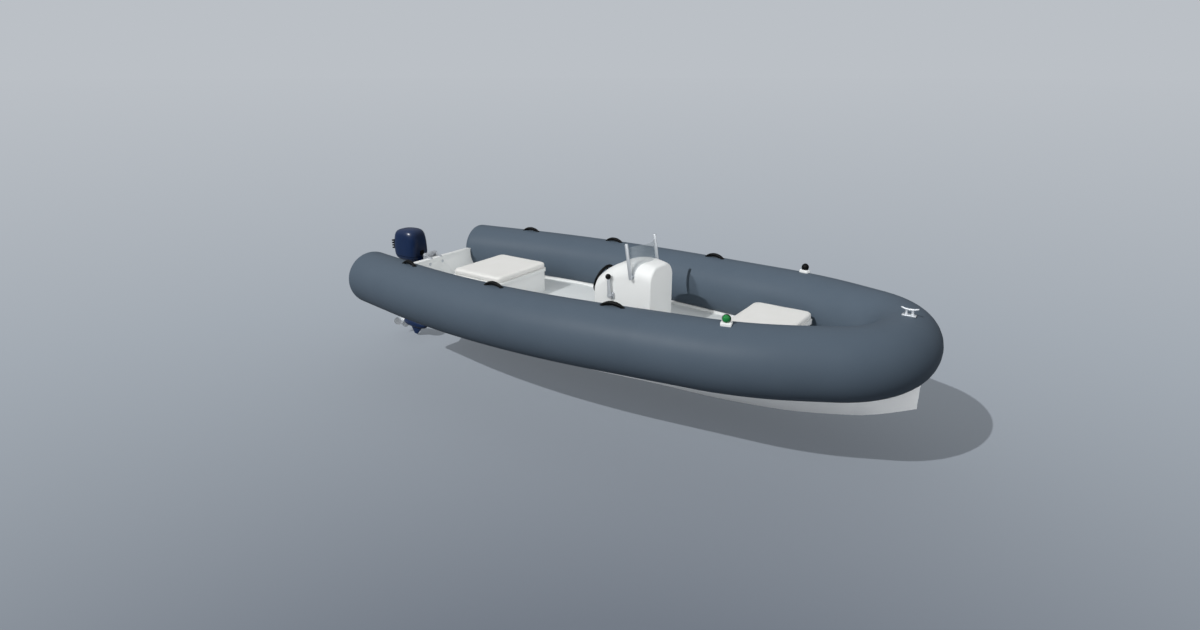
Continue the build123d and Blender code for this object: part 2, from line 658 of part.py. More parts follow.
def build_bracket():
    tilt_x, tilt_z = TILT
    aft = TRANSOM_X
    inside = TRANSOM_X + TRANSOM_T
    seat = TRANSOM_TOP + CAP_T
    cheek_aft = aft - CHEEK_DEEP
    lip = inside + CAP_OVER + LIP_REACH
    outline = [
        (aft, CHEEK_FOOT), (cheek_aft + 20, CHEEK_FOOT), (cheek_aft, CHEEK_FOOT + 60), (cheek_aft, tilt_z - 20),
        (tilt_x - TILT_BOSS_R, tilt_z + 6), (tilt_x - TILT_BOSS_R / 2, tilt_z + TILT_BOSS_R),
        (tilt_x + TILT_BOSS_R / 2, tilt_z + TILT_BOSS_R), (aft, seat + LIP_T + 6), (lip, seat + LIP_T), (lip, seat),
        (aft - CAP_OVER, seat), (aft - CAP_OVER, TRANSOM_TOP - 1), (aft, TRANSOM_TOP - 1),
    ]
    cheeks, bolts = [], []
    for side in (-1, 1):
        y = side * (CHEEK_Y + CHEEK_T / 2)
        cheek = side_plate(outline, CHEEK_T / 2, y)
        foot_y = sorted((side * CHEEK_Y, side * (CHEEK_Y + 3 * CHEEK_T)))
        cheek += block(aft - CHEEK_T / 2, aft, *foot_y, CHEEK_FOOT, TRANSOM_TOP - 1)
        cheek -= rod((tilt_x, y - CHEEK_T, tilt_z), (tilt_x, y + CHEEK_T, tilt_z), TILT_R)
        for bolt_y, z in bolt_places():
            if bolt_y * side < 0:
                continue
            head, washer = aft - CHEEK_T / 2, inside + WASHER[1]
            bolt = rod((head, bolt_y, z), (washer + BOLT_HEAD[1], bolt_y, z), BOLT_R)
            bolt += hexagon((head - BOLT_HEAD[1], bolt_y, z), (head, bolt_y, z), BOLT_HEAD[0])
            bolt += rod((inside, bolt_y, z), (washer, bolt_y, z), WASHER[0])
            bolt += hexagon((washer, bolt_y, z), (washer + BOLT_HEAD[1], bolt_y, z), BOLT_HEAD[0])
            cheek -= rod((head - 1, bolt_y, z), (aft + 1, bolt_y, z), BOLT_R)
            bolts.append(bolt)
        cheeks.append(cheek)
    save("clamp_brackets", joined(cheeks))
    save("mounting_bolts", joined(bolts))

    face = CHEEK_Y + CHEEK_T
    nut_r, nut_t = TILT_NUT
    tube = rod((tilt_x, -face - nut_t, tilt_z), (tilt_x, face + nut_t, tilt_z), TILT_R)
    for side in (-1, 1):
        tube += hexagon((tilt_x, side * face, tilt_z), (tilt_x, side * (face + nut_t), tilt_z), nut_r)
    save("tilt_tube", tube)

    web_fore = aft - WEB_SET
    web = [
        (tilt_x + TILT_BOSS_R - 3, tilt_z), (tilt_x - TILT_BOSS_R + 3, tilt_z),
        (KING_X + YOKE_HALF + YOKE_GAP, SWIVEL_TOP - 4), (KING_X, SWIVEL_TOP - 4), (KING_X, SWIVEL_BOTTOM + 4), (KING_X + 50, SWIVEL_BOTTOM + 4),
        (web_fore - 24, SWIVEL_BOTTOM + 90), (web_fore, SWIVEL_BOTTOM + 150), (web_fore, SWIVEL_TOP + 40),
    ]
    boss = CHEEK_Y - SWIVEL_GAP
    swivel = side_plate(web, SWIVEL_HALF)
    swivel += rod((tilt_x, -boss, tilt_z), (tilt_x, boss, tilt_z), TILT_BOSS_R)
    swivel += rod((KING_X, 0, SWIVEL_BOTTOM), (KING_X, 0, SWIVEL_TOP), SWIVEL_R)
    swivel -= rod((tilt_x, -CHEEK_Y, tilt_z), (tilt_x, CHEEK_Y, tilt_z), TILT_R + RUN)
    swivel -= rod((KING_X, 0, SWIVEL_BOTTOM - 1), (KING_X, 0, SWIVEL_TOP + 1), KING_R + RUN)
    save("swivel_bracket", swivel)


# ---- outboard: what steers ----
def cowl_plan(inset):
    """Rounded plan of the cowl."""
    return RectangleRounded(COWL_L - 2 * inset, COWL_W - 2 * inset, COWL_CORNER - inset)


def cowl_form(inset):
    form = extrude(cowl_plan(inset), amount=COWL_TOP - COWL_BOTTOM - inset, taper=COWL_TAPER)
    form = fillet(form.faces().sort_by(Axis.Z)[-1].edges(), COWL_DOME - inset)
    return Pos(COWL_X, 0, COWL_BOTTOM) * form


def leg_section(z, chord, half):
    """Streamlined section: a rounded nose and a fine tail."""
    nose = LEG_X + LEG_CHORD / 2
    tail = nose - chord
    return make_face([
        ThreePointArc((nose - half, -half, z), (nose, 0, z), (nose - half, half, z)),
        Line((nose - half, half, z), (tail, half * 0.35, z)),
        Line((tail, half * 0.35, z), (tail, -half * 0.35, z)),
        Line((tail, -half * 0.35, z), (nose - half, -half, z)),
    ])


def build_outboard():
    pan = loft([cowl_plan(PAN_IN), Pos(0, 0, PAN_H) * cowl_plan(PAN_REVEAL)])
    pan = Pos(COWL_X, 0, COWL_BOTTOM - PAN_H) * pan
    cowl = cowl_form(0.0) - cowl_form(COWL_WALL)
    save("lower_pan", pan)
    save("cowl", cowl)
    length, width, height = POWERHEAD
    save("powerhead", block(COWL_X - length / 2, COWL_X + length / 2, -width / 2, width / 2,
                            COWL_BOTTOM, COWL_BOTTOM + height))
    aft = COWL_X - COWL_L / 2
    deep, wide, tall = INTAKE
    intake = block(aft - deep * 0.6, aft + deep, -wide / 2, wide / 2, INTAKE_Z - tall / 2, INTAKE_Z + tall / 2)
    pitch = tall / RIBS
    for k in range(RIBS):
        z = INTAKE_Z - tall / 2 + pitch * (k + 0.5)
        intake -= block(aft - deep, aft - deep * 0.15, -wide / 2 + 6, wide / 2 - 6, z - pitch * 0.22, z + pitch * 0.22)
    save("air_intake", intake - cowl_form(0.0))
    front = COWL_X + COWL_L / 2
    deep, wide, tall = GROMMET
    grommet = block(front - deep, front + deep, -wide / 2, wide / 2, GROMMET_Z - tall / 2, GROMMET_Z + tall / 2)
    save("cable_grommet", grommet - cowl_form(0.0))

    leg_top = COWL_BOTTOM - PAN_H
    plate_top = PLATE_Z + PLATE_T
    leg = loft([leg_section(plate_top, LEG_CHORD - 20, LEG_HALF * 0.72),
                leg_section(leg_top, LEG_CHORD, LEG_HALF)], ruled=True)
    save("midsection", leg)
    plate = block(LEG_X + LEG_CHORD / 2 - PLATE_L, LEG_X + LEG_CHORD / 2 + 6, -PLATE_W / 2, PLATE_W / 2,
                  PLATE_Z, plate_top)
    plate = fillet(plate.edges().filter_by(Axis.Z), PLATE_CORNER)
    save("ventilation_plate", plate)

    strut = loft([leg_section(PROP_Z + TORPEDO_R / 3, LEG_CHORD - 40, LEG_HALF * 0.5),
                  leg_section(PLATE_Z, LEG_CHORD - 20, LEG_HALF * 0.72)], ruled=True)
    torpedo = torpedo_form(TORPEDO_R, TORPEDO_L, NOSE_TAPER, NOSE_LEAN)
    torpedo = Plane(origin=(TORPEDO_AFT, 0, PROP_Z), z_dir=(1, 0, 0)) * torpedo
    skeg_top = PROP_Z - TORPEDO_R / 3
    fore_top, fore_foot, aft_foot, aft_top = SKEG
    skeg = side_plate([(fore_top, skeg_top), (fore_foot, SKEG_BOTTOM), (aft_foot, SKEG_BOTTOM),
                       (aft_top, skeg_top)], SKEG_HALF)
    case = torpedo + strut + skeg
    case -= rod((TORPEDO_AFT - 1, 0, PROP_Z), (TORPEDO_AFT + SHAFT_SEAT, 0, PROP_Z), PROP_SHAFT_R + RUN)
    save("gearcase", case)

    pin_top = SWIVEL_TOP + YOKE_GAP + YOKE_T
    low = SWIVEL_BOTTOM - YOKE_GAP
    yoke = rod((KING_X, 0, low - YOKE_T), (KING_X, 0, pin_top), KING_R)
    nose_r = YOKE_HALF
    for z0, reach in ((SWIVEL_TOP + YOKE_GAP, COWL_X + COWL_L / 4), (low - YOKE_T, LEG_X)):
        yoke += rod((KING_X, 0, z0), (KING_X, 0, z0 + YOKE_T), nose_r)
        yoke += block(reach, KING_X, -YOKE_HALF, YOKE_HALF, z0, z0 + YOKE_T)
    save("steering_yoke", yoke - pan - leg)


# ---- propeller ----
def build_propeller():
    hub_fore = TORPEDO_AFT - PROP_GAP
    hub_aft = hub_fore - PROP_HUB_L
    root, root_r = BLADE_ROOT
    blade = make_face([
        Line((-root, 0, root_r), (root, 0, root_r)),
        ThreePointArc((root, 0, root_r), (BLADE_FORE[0], 0, BLADE_FORE[1]), (BLADE_TIP, 0, PROP_R)),
        ThreePointArc((BLADE_TIP, 0, PROP_R), (BLADE_AFT[0], 0, BLADE_AFT[1]), (-root, 0, root_r)),
    ])
    blade = Rot(0, 0, BLADE_PITCH) * extrude(blade, amount=BLADE_T / 2, both=True, dir=(0, 1, 0))
    propeller = rod((hub_fore, 0, PROP_Z), (hub_aft, 0, PROP_Z), PROP_HUB_R)
    for k in range(PROP_BLADES):
        turn = PROP_TURN + 360 / PROP_BLADES * k
        propeller += Pos((hub_fore + hub_aft) / 2, 0, PROP_Z) * Rot(turn, 0, 0) * blade
    propeller -= rod((hub_fore + 1, 0, PROP_Z), (hub_aft - 1, 0, PROP_Z), PROP_SHAFT_R)
    save("propeller", propeller)
    shaft = rod((TORPEDO_AFT + SHAFT_SEAT - 10, 0, PROP_Z), (hub_aft - NUT_L, 0, PROP_Z), PROP_SHAFT_R)
    nut = hexagon((hub_aft, 0, PROP_Z), (hub_aft - NUT_L * 0.7, 0, PROP_Z), NUT_R)
    save("propeller_shaft", shaft + nut)


build_collar()
build_hull()
build_seat("aft_seat", *AFT_SEAT, False)
build_seat("bow_seat", *BOW_SEAT, True)
build_console()
build_wheel()
build_throttle()
build_fittings()
build_bracket()
build_outboard()
build_propeller()
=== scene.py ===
"""A five-metre rigid inflatable boat: its finishes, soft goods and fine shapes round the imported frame.

Metres. +X is the bow, +Y port and +Z up. The origin is amidships on the centreline, at the waterline.
"""

import json
from math import atan, atan2, copysign, cos, pi, radians, sin, sqrt, tan

import bmesh
import bpy
from mathutils import Matrix, Vector

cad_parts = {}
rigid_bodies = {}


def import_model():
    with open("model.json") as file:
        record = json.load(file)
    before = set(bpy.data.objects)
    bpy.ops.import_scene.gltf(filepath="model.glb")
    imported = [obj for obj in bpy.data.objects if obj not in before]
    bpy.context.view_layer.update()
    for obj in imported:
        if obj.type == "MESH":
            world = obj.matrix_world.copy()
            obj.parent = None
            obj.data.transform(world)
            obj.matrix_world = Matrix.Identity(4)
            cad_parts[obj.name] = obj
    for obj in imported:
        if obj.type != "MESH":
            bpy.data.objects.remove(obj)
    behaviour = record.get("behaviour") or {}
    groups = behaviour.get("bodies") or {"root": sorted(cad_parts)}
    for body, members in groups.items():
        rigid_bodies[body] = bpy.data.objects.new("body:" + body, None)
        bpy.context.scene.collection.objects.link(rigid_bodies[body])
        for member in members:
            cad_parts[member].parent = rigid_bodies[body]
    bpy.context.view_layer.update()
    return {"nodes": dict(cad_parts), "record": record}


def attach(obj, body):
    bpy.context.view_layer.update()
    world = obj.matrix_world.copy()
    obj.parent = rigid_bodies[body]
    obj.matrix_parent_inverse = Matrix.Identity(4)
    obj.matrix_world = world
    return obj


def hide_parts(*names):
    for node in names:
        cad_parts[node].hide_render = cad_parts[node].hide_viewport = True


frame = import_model()
NODES = frame["nodes"]
MM = 0.001

# ---- the boat's driving sizes ----
TUBE_R = 0.247
# centreline of the starboard half of the collar, stern first: x, half-breadth, z, bend radius
COLLAR = (
    (-2.467, 0.7338, 0.271, 0.0),
    (-0.892, 0.979, 0.272, 8.015),
    (1.324, 0.716, 0.318, 2.133),
    (2.139, 0.339, 0.350, 0.524),
)
SEAM_AFT = -0.700         # bulkhead seams between the air chambers
SEAM_FORE = 1.000
STERN_DOME = 0.087        # depth of the rounded stern ends
STERN_RIM = 0.060         # radius at their rims
CHAMBER_STEP = 0.05       # length of each ring of a chamber's skin
TUBE_SIDES = 72
# hull
SOLE_Z = 0.085
SOLE_T = 0.015
SOLE_FORE = 1.500
TUCK = 0.020              # how far the hull's edge runs in under the tube
BITE = 0.045              # height of the forward hull edge above the tube's underside
TRANSOM_X = -2.448
TRANSOM_T = 0.045
STEM_X = COLLAR[-1][0] + 0.151
STEM_KEEL = -0.055
STEM_HALF = 0.004
HULL_STEPS = 56
# x, keel z, chine z, chine's distance inboard of the collar's centreline
STATIONS = (
    (TRANSOM_X, -0.400, -0.105, 0.237),
    (-1.200, -0.406, -0.105, 0.245),
    (0.000, -0.406, -0.105, 0.242),
    (0.700, -0.390, -0.092, 0.240),
    (1.150, -0.354, -0.062, 0.230),
    (SOLE_FORE, -0.306, -0.030, 0.220),
    (1.900, -0.217, 0.030, 0.190),
)
FOREFOOT = (2.080, -0.153, 0.090, 0.075)      # x, keel z, chine half-breadth, chine z
TRANSOM_EASE = 0.004      # radii on the edges of the transom and its cap
CAP_EASE = 0.0025
# seats
SEAT_TOP = 0.375
CUSHION_T = 0.057
CUSHION_IN = 0.006        # cushion set in from the lid's edge, before it swells
CUSHION_LOW = 0.004       # its top left low, for the crown that it swells to
CUSHION_EASE = 0.018
CUSHION_VOXEL = 0.007
CUSHION_SWELL = 0.005     # the most that the foam lets the cover rise
CLOTH_PRESSURE = 4.0
CLOTH_FRAMES = 20
LOCKER_EASE = 0.003
LID_EASE = 0.004
# x aft, x fore, half-width and corner radius of each lid
AFT_SEAT = (-1.812, -1.210, 0.355, 0.060)
BOW_SEAT = (0.920, 1.418, 0.380, 0.066)
# console
CONSOLE_AFT = -0.262
CONSOLE_FORE = 0.266
CONSOLE_HALF_AFT = 0.213
CONSOLE_HALF_FORE = 0.181
CONSOLE_CROWN_X = 0.109       # the arched top: its highest point and its radius
CONSOLE_CROWN_Z = 0.672
CONSOLE_CROWN_R = 0.500
CONSOLE_SHOULDER = 0.120      # radius from each side into the top
CONSOLE_RIM = 0.014           # radius round the fore and aft faces
CONSOLE_STEPS = 24
SHOULDER_STEPS = 10
RIM_STEPS = 5
# helm, throttle and screen
WHEEL_X = -0.3067
WHEEL_Z = 0.4439
WHEEL_TILT = 20.0             # degrees by which the shaft falls forward
WHEEL_R = 0.136
WHEEL_GRIP = 0.0130
WHEEL_DISH = 0.008            # how far the spokes dip towards the dash at the hub
SPOKES = 3
SPOKE_R = 0.007
HUB_R = 0.032
HUB_L = 0.010
SHAFT_R = 0.010
SHAFT_L = 0.090
BEZEL_R = 0.042
BEZEL_L = 0.062
BEZEL_AHEAD = 0.018           # from the wheel's centre to the bezel
THROTTLE_X = -0.094
THROTTLE_Z = 0.388
THROTTLE_DEEP = 0.016         # the lever's distance off the console's side
THROTTLE_BASE = (0.066, 0.022, 0.050)
THROTTLE_EASE = 0.009
LEVER_R = 0.0138
LEVER_L = 0.160
LEVER_LEAN = 4.0              # degrees aft of upright
KNOB_R = 0.0235
POST_R = 0.0140
POST_Y = 0.220
POST_FOOT = (0.102, 0.551)    # x and z
POST_TOP = (0.057, 0.841)
STUB_R = 0.009                # the stub that holds a post off the console's side
STUB_FLANGE_R = 0.017
PANE_T = 0.005
PANE_BOW = 0.075              # how far the pane bulges forward of its posts
PANE_TOP = 0.815
PANE_DIP = 0.06               # share of the pane's height by which its top corners fall
PANE_ROWS = 10
PANE_COLUMNS = 24
# fittings on the collar
# handles: name, side and x of each
HANDLES = (
    ("starboard", -1, (-1.815, -0.743, 0.337)),
    ("port", 1, (-1.815, -0.799, 0.337)),
)
HANDLE_SPAN = 0.166
HANDLE_RISE = 0.024
HANDLE_R = 0.0158
HANDLE_TAPER = 0.30           # share of the grip's radius lost at its ends
HANDLE_STEPS = 10
HANDLE_FOOT = (0.021, 0.020, 0.008)           # half-sizes
LIGHT_X = 1.177
LIGHT_LEAN = 8.0              # degrees outboard
LIGHT_BASE = (0.074, 0.054, 0.022)
LIGHT_FOOT = 0.008            # how far the base reaches down into the tube's curve
LIGHT_EASE = 0.007
LENS_R = 0.0285
LENS_RISE = 0.022             # from the base to the middle of the lens
HOOD_R = 0.031
HOOD_T = 0.0015
CLEAT_X = 2.150
CLEAT_LEG = 0.040             # between its two legs
CLEAT_FOOT = (0.092, 0.040, 0.014)
CLEAT_EASE = 0.006
# height and radius up a leg
CLEAT_LEG_SHAPE = ((0.004, 0.015), (0.010, 0.0115), (0.020, 0.0085), (0.034, 0.0075), (0.041, 0.0080))
HORN_Z = 0.041
HORN_CURL = 3.6               # rise of the horn's tips for each square metre of their reach
# distance from the middle and radius along half the horn
HORN = ((0.0, 0.0088), (0.015, 0.0086), (0.030, 0.0076), (0.052, 0.0065), (0.0555, 0.0052), (0.057, 0.003))
# outboard
COWL_X = -2.777
COWL_SLOPE = 0.20             # tilt gained for each metre of height
COWL_SIDES = 56
# z, half-length, half-width and squareness of each section
PAN_FOOT = 0.250
PAN_SECTIONS = (
    (PAN_FOOT, 0.132, 0.090, 2.8),
    (0.256, 0.142, 0.098, 2.9),
    (0.275, 0.157, 0.112, 3.0),
    (0.292, 0.1645, 0.1200, 3.0),
    (0.298, 0.165, 0.1205, 3.0),
)
COWL_SECTIONS = (
    (0.3025, 0.1630, 0.1195, 3.4),
    (0.310, 0.1645, 0.1210, 3.4),
    (0.345, 0.1665, 0.1235, 3.4),
    (0.390, 0.1670, 0.1240, 3.3),
    (0.435, 0.1660, 0.1230, 3.2),
    (0.478, 0.1630, 0.1205, 3.1),
    (0.512, 0.1575, 0.1160, 3.0),
    (0.538, 0.1480, 0.1085, 2.9),
    (0.556, 0.1330, 0.0970, 2.8),
    (0.567, 0.1120, 0.0810, 2.6),
    (0.574, 0.0840, 0.0610, 2.4),
    (0.5775, 0.0500, 0.0360, 2.2),
    (0.579, 0.0160, 0.0120, 2.0),
)
SEAL_Z = (0.2975, 0.3035)
SEAL = (0.1640, 0.1195, 3.0)      # half-length, half-width and squareness
INTAKE = (0.050, 0.168, 0.104)    # depth, width and height, as the grommet's
INTAKE_Z = 0.400
RIBS = 4
GROMMET = (0.020, 0.046, 0.050)
GROMMET_Z = 0.340
GROMMET_EASE = 0.007
CABLE_STEP = 0.013                # each cable eye above or below the grommet's middle
LEG_X = -2.755
LEG_CHORD = 0.190
PLATE_Z = -0.275
PLATE_T = 0.012
PLATE_L = 0.300
PLATE_W = 0.160
PLATE_CORNER = 0.055
PLATE_EASE = 0.0045
PROP_Z = -0.487
TORPEDO_R = 0.049
TORPEDO_AFT = -2.972
# share of the radius and distance forward of its aft end
TORPEDO = (
    (0.0, 0.0), (0.54, 0.0), (0.60, 0.003), (0.76, 0.036), (0.92, 0.084), (1.0, 0.140), (1.0, 0.190),
    (0.965, 0.235), (0.88, 0.270), (0.74, 0.298), (0.52, 0.320), (0.25, 0.3315), (0.0, 0.334),
)
# height, shortening of the chord and half-thickness down the leg
LEG_SECTIONS = ((PAN_FOOT, 0.0, 0.044), (0.150, 0.004, 0.042), (0.0, 0.012, 0.037),
                (PLATE_Z + 0.030, 0.020, 0.032), (PLATE_Z + PLATE_T, 0.016, 0.036))
STRUT_SECTIONS = ((PLATE_Z, 0.020, 0.032), (-0.340, 0.026, 0.027), (-0.400, 0.034, 0.023),
                  (PROP_Z + 0.010, 0.036, 0.024))
SKEG = (-2.695, -2.797, -2.845, -2.912)       # x of its fore top, fore foot, aft foot, aft top
SKEG_BOTTOM = -0.612
SKEG_HALF = 0.008
SKEG_TAPER = 0.35                 # share of its thickness lost at its foot
PROP_R = 0.116
PROP_HUB_R = 0.028
PROP_HUB_L = 0.078
PROP_BORE_R = 0.012
PROP_GAP = 0.004                  # between the hub and the gearcase
PROP_BLADES = 3
PROP_TURN = 90.0                  # degrees at which the first blade stands
PROP_PITCH = 0.300                # advance in one turn
BLADE_CHORD = 0.046
BLADE_RAKE = 0.014
BLADE_T = 0.0045
NUT_R = 0.0165
NUT_T = 0.014
PROP_SHAFT_R = 0.011
PROP_SHAFT_L = 0.17
CAST_EASE = 0.003                 # radius on the mount's cast edges
BOLT_EASE = 0.001


# ---- colour, nodes and materials ----
def linear(code):
    """A maker's #rrggbb colour as linear light."""
    channels = [int(code[i:i + 2], 16) / 255 for i in (1, 3, 5)]
    return tuple(c / 12.92 if c <= 0.04045 else ((c + 0.055) / 1.055) ** 2.4 for c in channels) + (1.0,)


def add(tree, kind, settings=None, links=None):
    """Add a node: settings fill its sockets or attributes, links join its sockets to outputs."""
    made = tree.nodes.new(kind)
    for key, value in (settings or {}).items():
        if isinstance(key, int) or key in made.inputs:
            made.inputs[key].default_value = value
        else:
            setattr(made, key, value)
    for key, output in (links or {}).items():
        tree.links.new(output, made.inputs[key])
    return made


def start_material(name, colour, roughness, **sockets):
    """A new material: its tree, its shader and the object's own coordinates in metres."""
    material = bpy.data.materials.new(name)
    material.use_nodes = True
    tree = material.node_tree
    shader = tree.nodes["Principled BSDF"]
    shader.inputs["Base Color"].default_value = linear(colour)
    shader.inputs["Roughness"].default_value = roughness
    for key, value in sockets.items():
        shader.inputs[key.replace("_", " ")].default_value = value
    place = add(tree, "ShaderNodeTexCoord").outputs["Object"]
    return material, tree, shader, place


def mottle(tree, shader, place, dark, pale, patch):
    """Cloud the colour between two hexes in patches of a real size."""
    cloud = add(tree, "ShaderNodeTexNoise", {"Scale": 1 / patch, "Detail": 4.0, "Roughness": 0.6},
                {"Vector": place})
    mix = add(tree, "ShaderNodeMix", {"data_type": "RGBA", 6: linear(dark), 7: linear(pale)},
              {"Factor": cloud.outputs["Fac"]})
    tree.links.new(mix.outputs[2], shader.inputs["Base Color"])


def vary_roughness(tree, shader, place, low, high, patch):
    """Let handling and weather change the gloss a little from patch to patch."""
    cloud = add(tree, "ShaderNodeTexNoise", {"Scale": 1 / patch, "Detail": 3.0}, {"Vector": place})
    span = add(tree, "ShaderNodeMapRange", {"To Min": low, "To Max": high}, {"Value": cloud.outputs["Fac"]})
    tree.links.new(span.outputs["Result"], shader.inputs["Roughness"])


def emboss(tree, shader, height, depth):
    """Raise the surface by a height pattern, depth metres deep."""
    bump = add(tree, "ShaderNodeBump", {"Strength": 1.0, "Distance": depth}, {"Height": height})
    tree.links.new(bump.outputs["Normal"], shader.inputs["Normal"])


def coated_fabric():
    """Polyester fabric with a calendered synthetic rubber coat: an even dark grey-blue with a soft sheen.

    Its thread print is about 1 mm, drawn at 4 mm so that it shows.
    """
    material, tree, shader, place = start_material("calendered_coated_fabric", "#505c68", 0.5,
                                                   Specular_IOR_Level=0.12)
    mottle(tree, shader, place, "#4c5864", "#535f6b", 0.35)
    vary_roughness(tree, shader, place, 0.44, 0.56, 0.12)
    thread = add(tree, "ShaderNodeTexNoise", {"Scale": 250.0, "Detail": 2.0}, {"Vector": place})
    emboss(tree, shader, thread.outputs["Fac"], 0.12 * MM)
    return material


def gelcoat(name, dark, pale):
    """Polyester gelcoat sprayed in a waxed mould: white, even, with the faintest waviness."""
    material, tree, shader, place = start_material(name, dark, 0.45, Specular_IOR_Level=0.2)
    mottle(tree, shader, place, dark, pale, 0.5)
    ripple = add(tree, "ShaderNodeTexNoise", {"Scale": 12.0, "Detail": 1.0}, {"Vector": place})
    emboss(tree, shader, ripple.outputs["Fac"], 0.5 * MM)
    return material


def non_slip_gelcoat():
    """Gelcoat from a mould with a raised diamond tread: satin, 6 mm diamonds drawn at 14 mm."""
    material, tree, shader, place = start_material("non_slip_gelcoat", "#d8dcdc", 0.5)
    mottle(tree, shader, place, "#d4d9d9", "#dde0e0", 0.4)
    pitch = 14 * MM
    rows = []
    for turn in (45, -45):
        turned_place = add(tree, "ShaderNodeMapping", {"Rotation": (0, 0, radians(turn))}, {"Vector": place})
        wave = add(tree, "ShaderNodeTexWave", {"Scale": 1 / pitch / 3.2},
                   {"Vector": turned_place.outputs["Vector"]})
        rows.append(wave.outputs["Fac"])
    tread = add(tree, "ShaderNodeMath", {"operation": "MULTIPLY"}, {0: rows[0], 1: rows[1]})
    emboss(tree, shader, tread.outputs["Value"], 0.5 * MM)
    return material


def marine_vinyl():
    """Expanded vinyl on knit backing: off-white, soft satin, a leather grain 2 mm wide drawn at 5 mm."""
    material, tree, shader, place = start_material("marine_vinyl", "#e6e5e1", 0.48, Sheen_Weight=0.1)
    mottle(tree, shader, place, "#e2e1dc", "#eae9e6", 0.2)
    vary_roughness(tree, shader, place, 0.42, 0.55, 0.06)
    grain = add(tree, "ShaderNodeTexVoronoi", {"Scale": 200.0}, {"Vector": place})
    emboss(tree, shader, grain.outputs["Distance"], 0.25 * MM)
    return material


def moulded_rubber():
    """Moulded synthetic rubber: near black, dull, faintly pebbled."""
    material, tree, shader, place = start_material("moulded_black_rubber", "#050607", 0.65,
                                                   Specular_IOR_Level=0.15)
    vary_roughness(tree, shader, place, 0.5, 0.68, 0.02)
    pebble = add(tree, "ShaderNodeTexNoise", {"Scale": 500.0, "Detail": 2.0}, {"Vector": place})
    emboss(tree, shader, pebble.outputs["Fac"], 0.15 * MM)
    return material


def textured_abs():
    """Spark-textured ABS moulding: black with a satin grain."""
    material, tree, shader, place = start_material("textured_black_abs", "#060708", 0.6,
                                                   Specular_IOR_Level=0.15)
    vary_roughness(tree, shader, place, 0.54, 0.66, 0.015)
    spark = add(tree, "ShaderNodeTexNoise", {"Scale": 700.0, "Detail": 2.0}, {"Vector": place})
    emboss(tree, shader, spark.outputs["Fac"], 0.1 * MM)
    return material


def polished_stainless():
    """Bar and cast stainless, buffed: bright grey, its gloss a little worn in patches."""
    material, tree, shader, place = start_material("buffed_stainless_steel", "#c3c8cd", 0.4, Metallic=0.4)
    vary_roughness(tree, shader, place, 0.34, 0.48, 0.02)
    return material


def cast_aluminium():
    """Gravity-cast aluminium, tumbled: pale grey, slightly grainy."""
    material, tree, shader, place = start_material("tumbled_cast_aluminium", "#b4b8bd", 0.45, Metallic=0.5)
    vary_roughness(tree, shader, place, 0.36, 0.52, 0.02)
    grain = add(tree, "ShaderNodeTexNoise", {"Scale": 400.0, "Detail": 3.0}, {"Vector": place})
    emboss(tree, shader, grain.outputs["Fac"], 0.15 * MM)
    return material


def navy_enamel():
    """Baked marine enamel under clear lacquer: deep navy, wet gloss."""
    material, tree, shader, place = start_material("baked_navy_enamel", "#101f3c", 0.3,
                                                   Specular_IOR_Level=0.45)
    mottle(tree, shader, place, "#0f2243", "#13294d", 0.15)
    peel = add(tree, "ShaderNodeTexNoise", {"Scale": 90.0, "Detail": 1.0}, {"Vector": place})
    emboss(tree, shader, peel.outputs["Fac"], 0.08 * MM)
    return material


def acrylic_lens(name, dark, pale):
    """Injection-moulded tinted acrylic: clear gloss over fine upright prisms 3 mm wide."""
    material, tree, shader, place = start_material(name, dark, 0.12, Coat_Weight=0.6,
                                                   Transmission_Weight=0.25)
    mottle(tree, shader, place, dark, pale, 0.03)
    prisms = add(tree, "ShaderNodeTexWave", {"Scale": 105.0}, {"Vector": place})
    emboss(tree, shader, prisms.outputs["Fac"], 0.2 * MM)
    return material


def clear_acrylic():
    """Cast acrylic sheet: clear, with a breath of grey and polished edges."""
    material, tree, shader, place = start_material("cast_clear_acrylic", "#dfe9ee", 0.06, Alpha=0.22)
    vary_roughness(tree, shader, place, 0.04, 0.1, 0.1)
    material.surface_render_method = "BLENDED"
    return material


FABRIC = coated_fabric()
GELCOAT = gelcoat("moulded_white_gelcoat", "#e0e2e1", "#e8e9e8")
# painted light: the same white gelcoat in a paler copy for the hull, so that its shaded underside looks as
# lit as the deck's whites
HULL_GELCOAT_PAINTED_LIGHT = gelcoat("hull_gelcoat_painted_brighter", "#f3f5f6", "#f9fafa")
NON_SLIP = non_slip_gelcoat()
VINYL = marine_vinyl()
RUBBER = moulded_rubber()
ABS = textured_abs()
STEEL = polished_stainless()
CASTING = cast_aluminium()
ENAMEL = navy_enamel()
GREEN = acrylic_lens("tinted_green_acrylic", "#0a7a32", "#12a04a")
RED = acrylic_lens("tinted_red_acrylic", "#8d1512", "#c22d22")
CLEAR = clear_acrylic()
# the record's slot that each finish belongs to; of two in one slot, the later dresses the CAD nodes
SLOTS = {
    FABRIC: "tube_fabric", HULL_GELCOAT_PAINTED_LIGHT: "white_gelcoat", GELCOAT: "white_gelcoat",
    NON_SLIP: "sole_gelcoat", VINYL: "white_vinyl", RUBBER: "black_rubber", ABS: "black_plastic",
    STEEL: "stainless_steel", CASTING: "cast_aluminium", ENAMEL: "navy_paint", GREEN: "green_lens",
    RED: "red_lens", CLEAR: "clear_screen",
}


def dress_frame():
    """Give every CAD node the finish of its material slot."""
    finishes = {slot: material for material, slot in SLOTS.items()}
    for row in frame["record"]["subparts"]:
        mesh = NODES[row["node"]].data
        mesh.materials.clear()
        mesh.materials.append(finishes[row["material_slot"]])


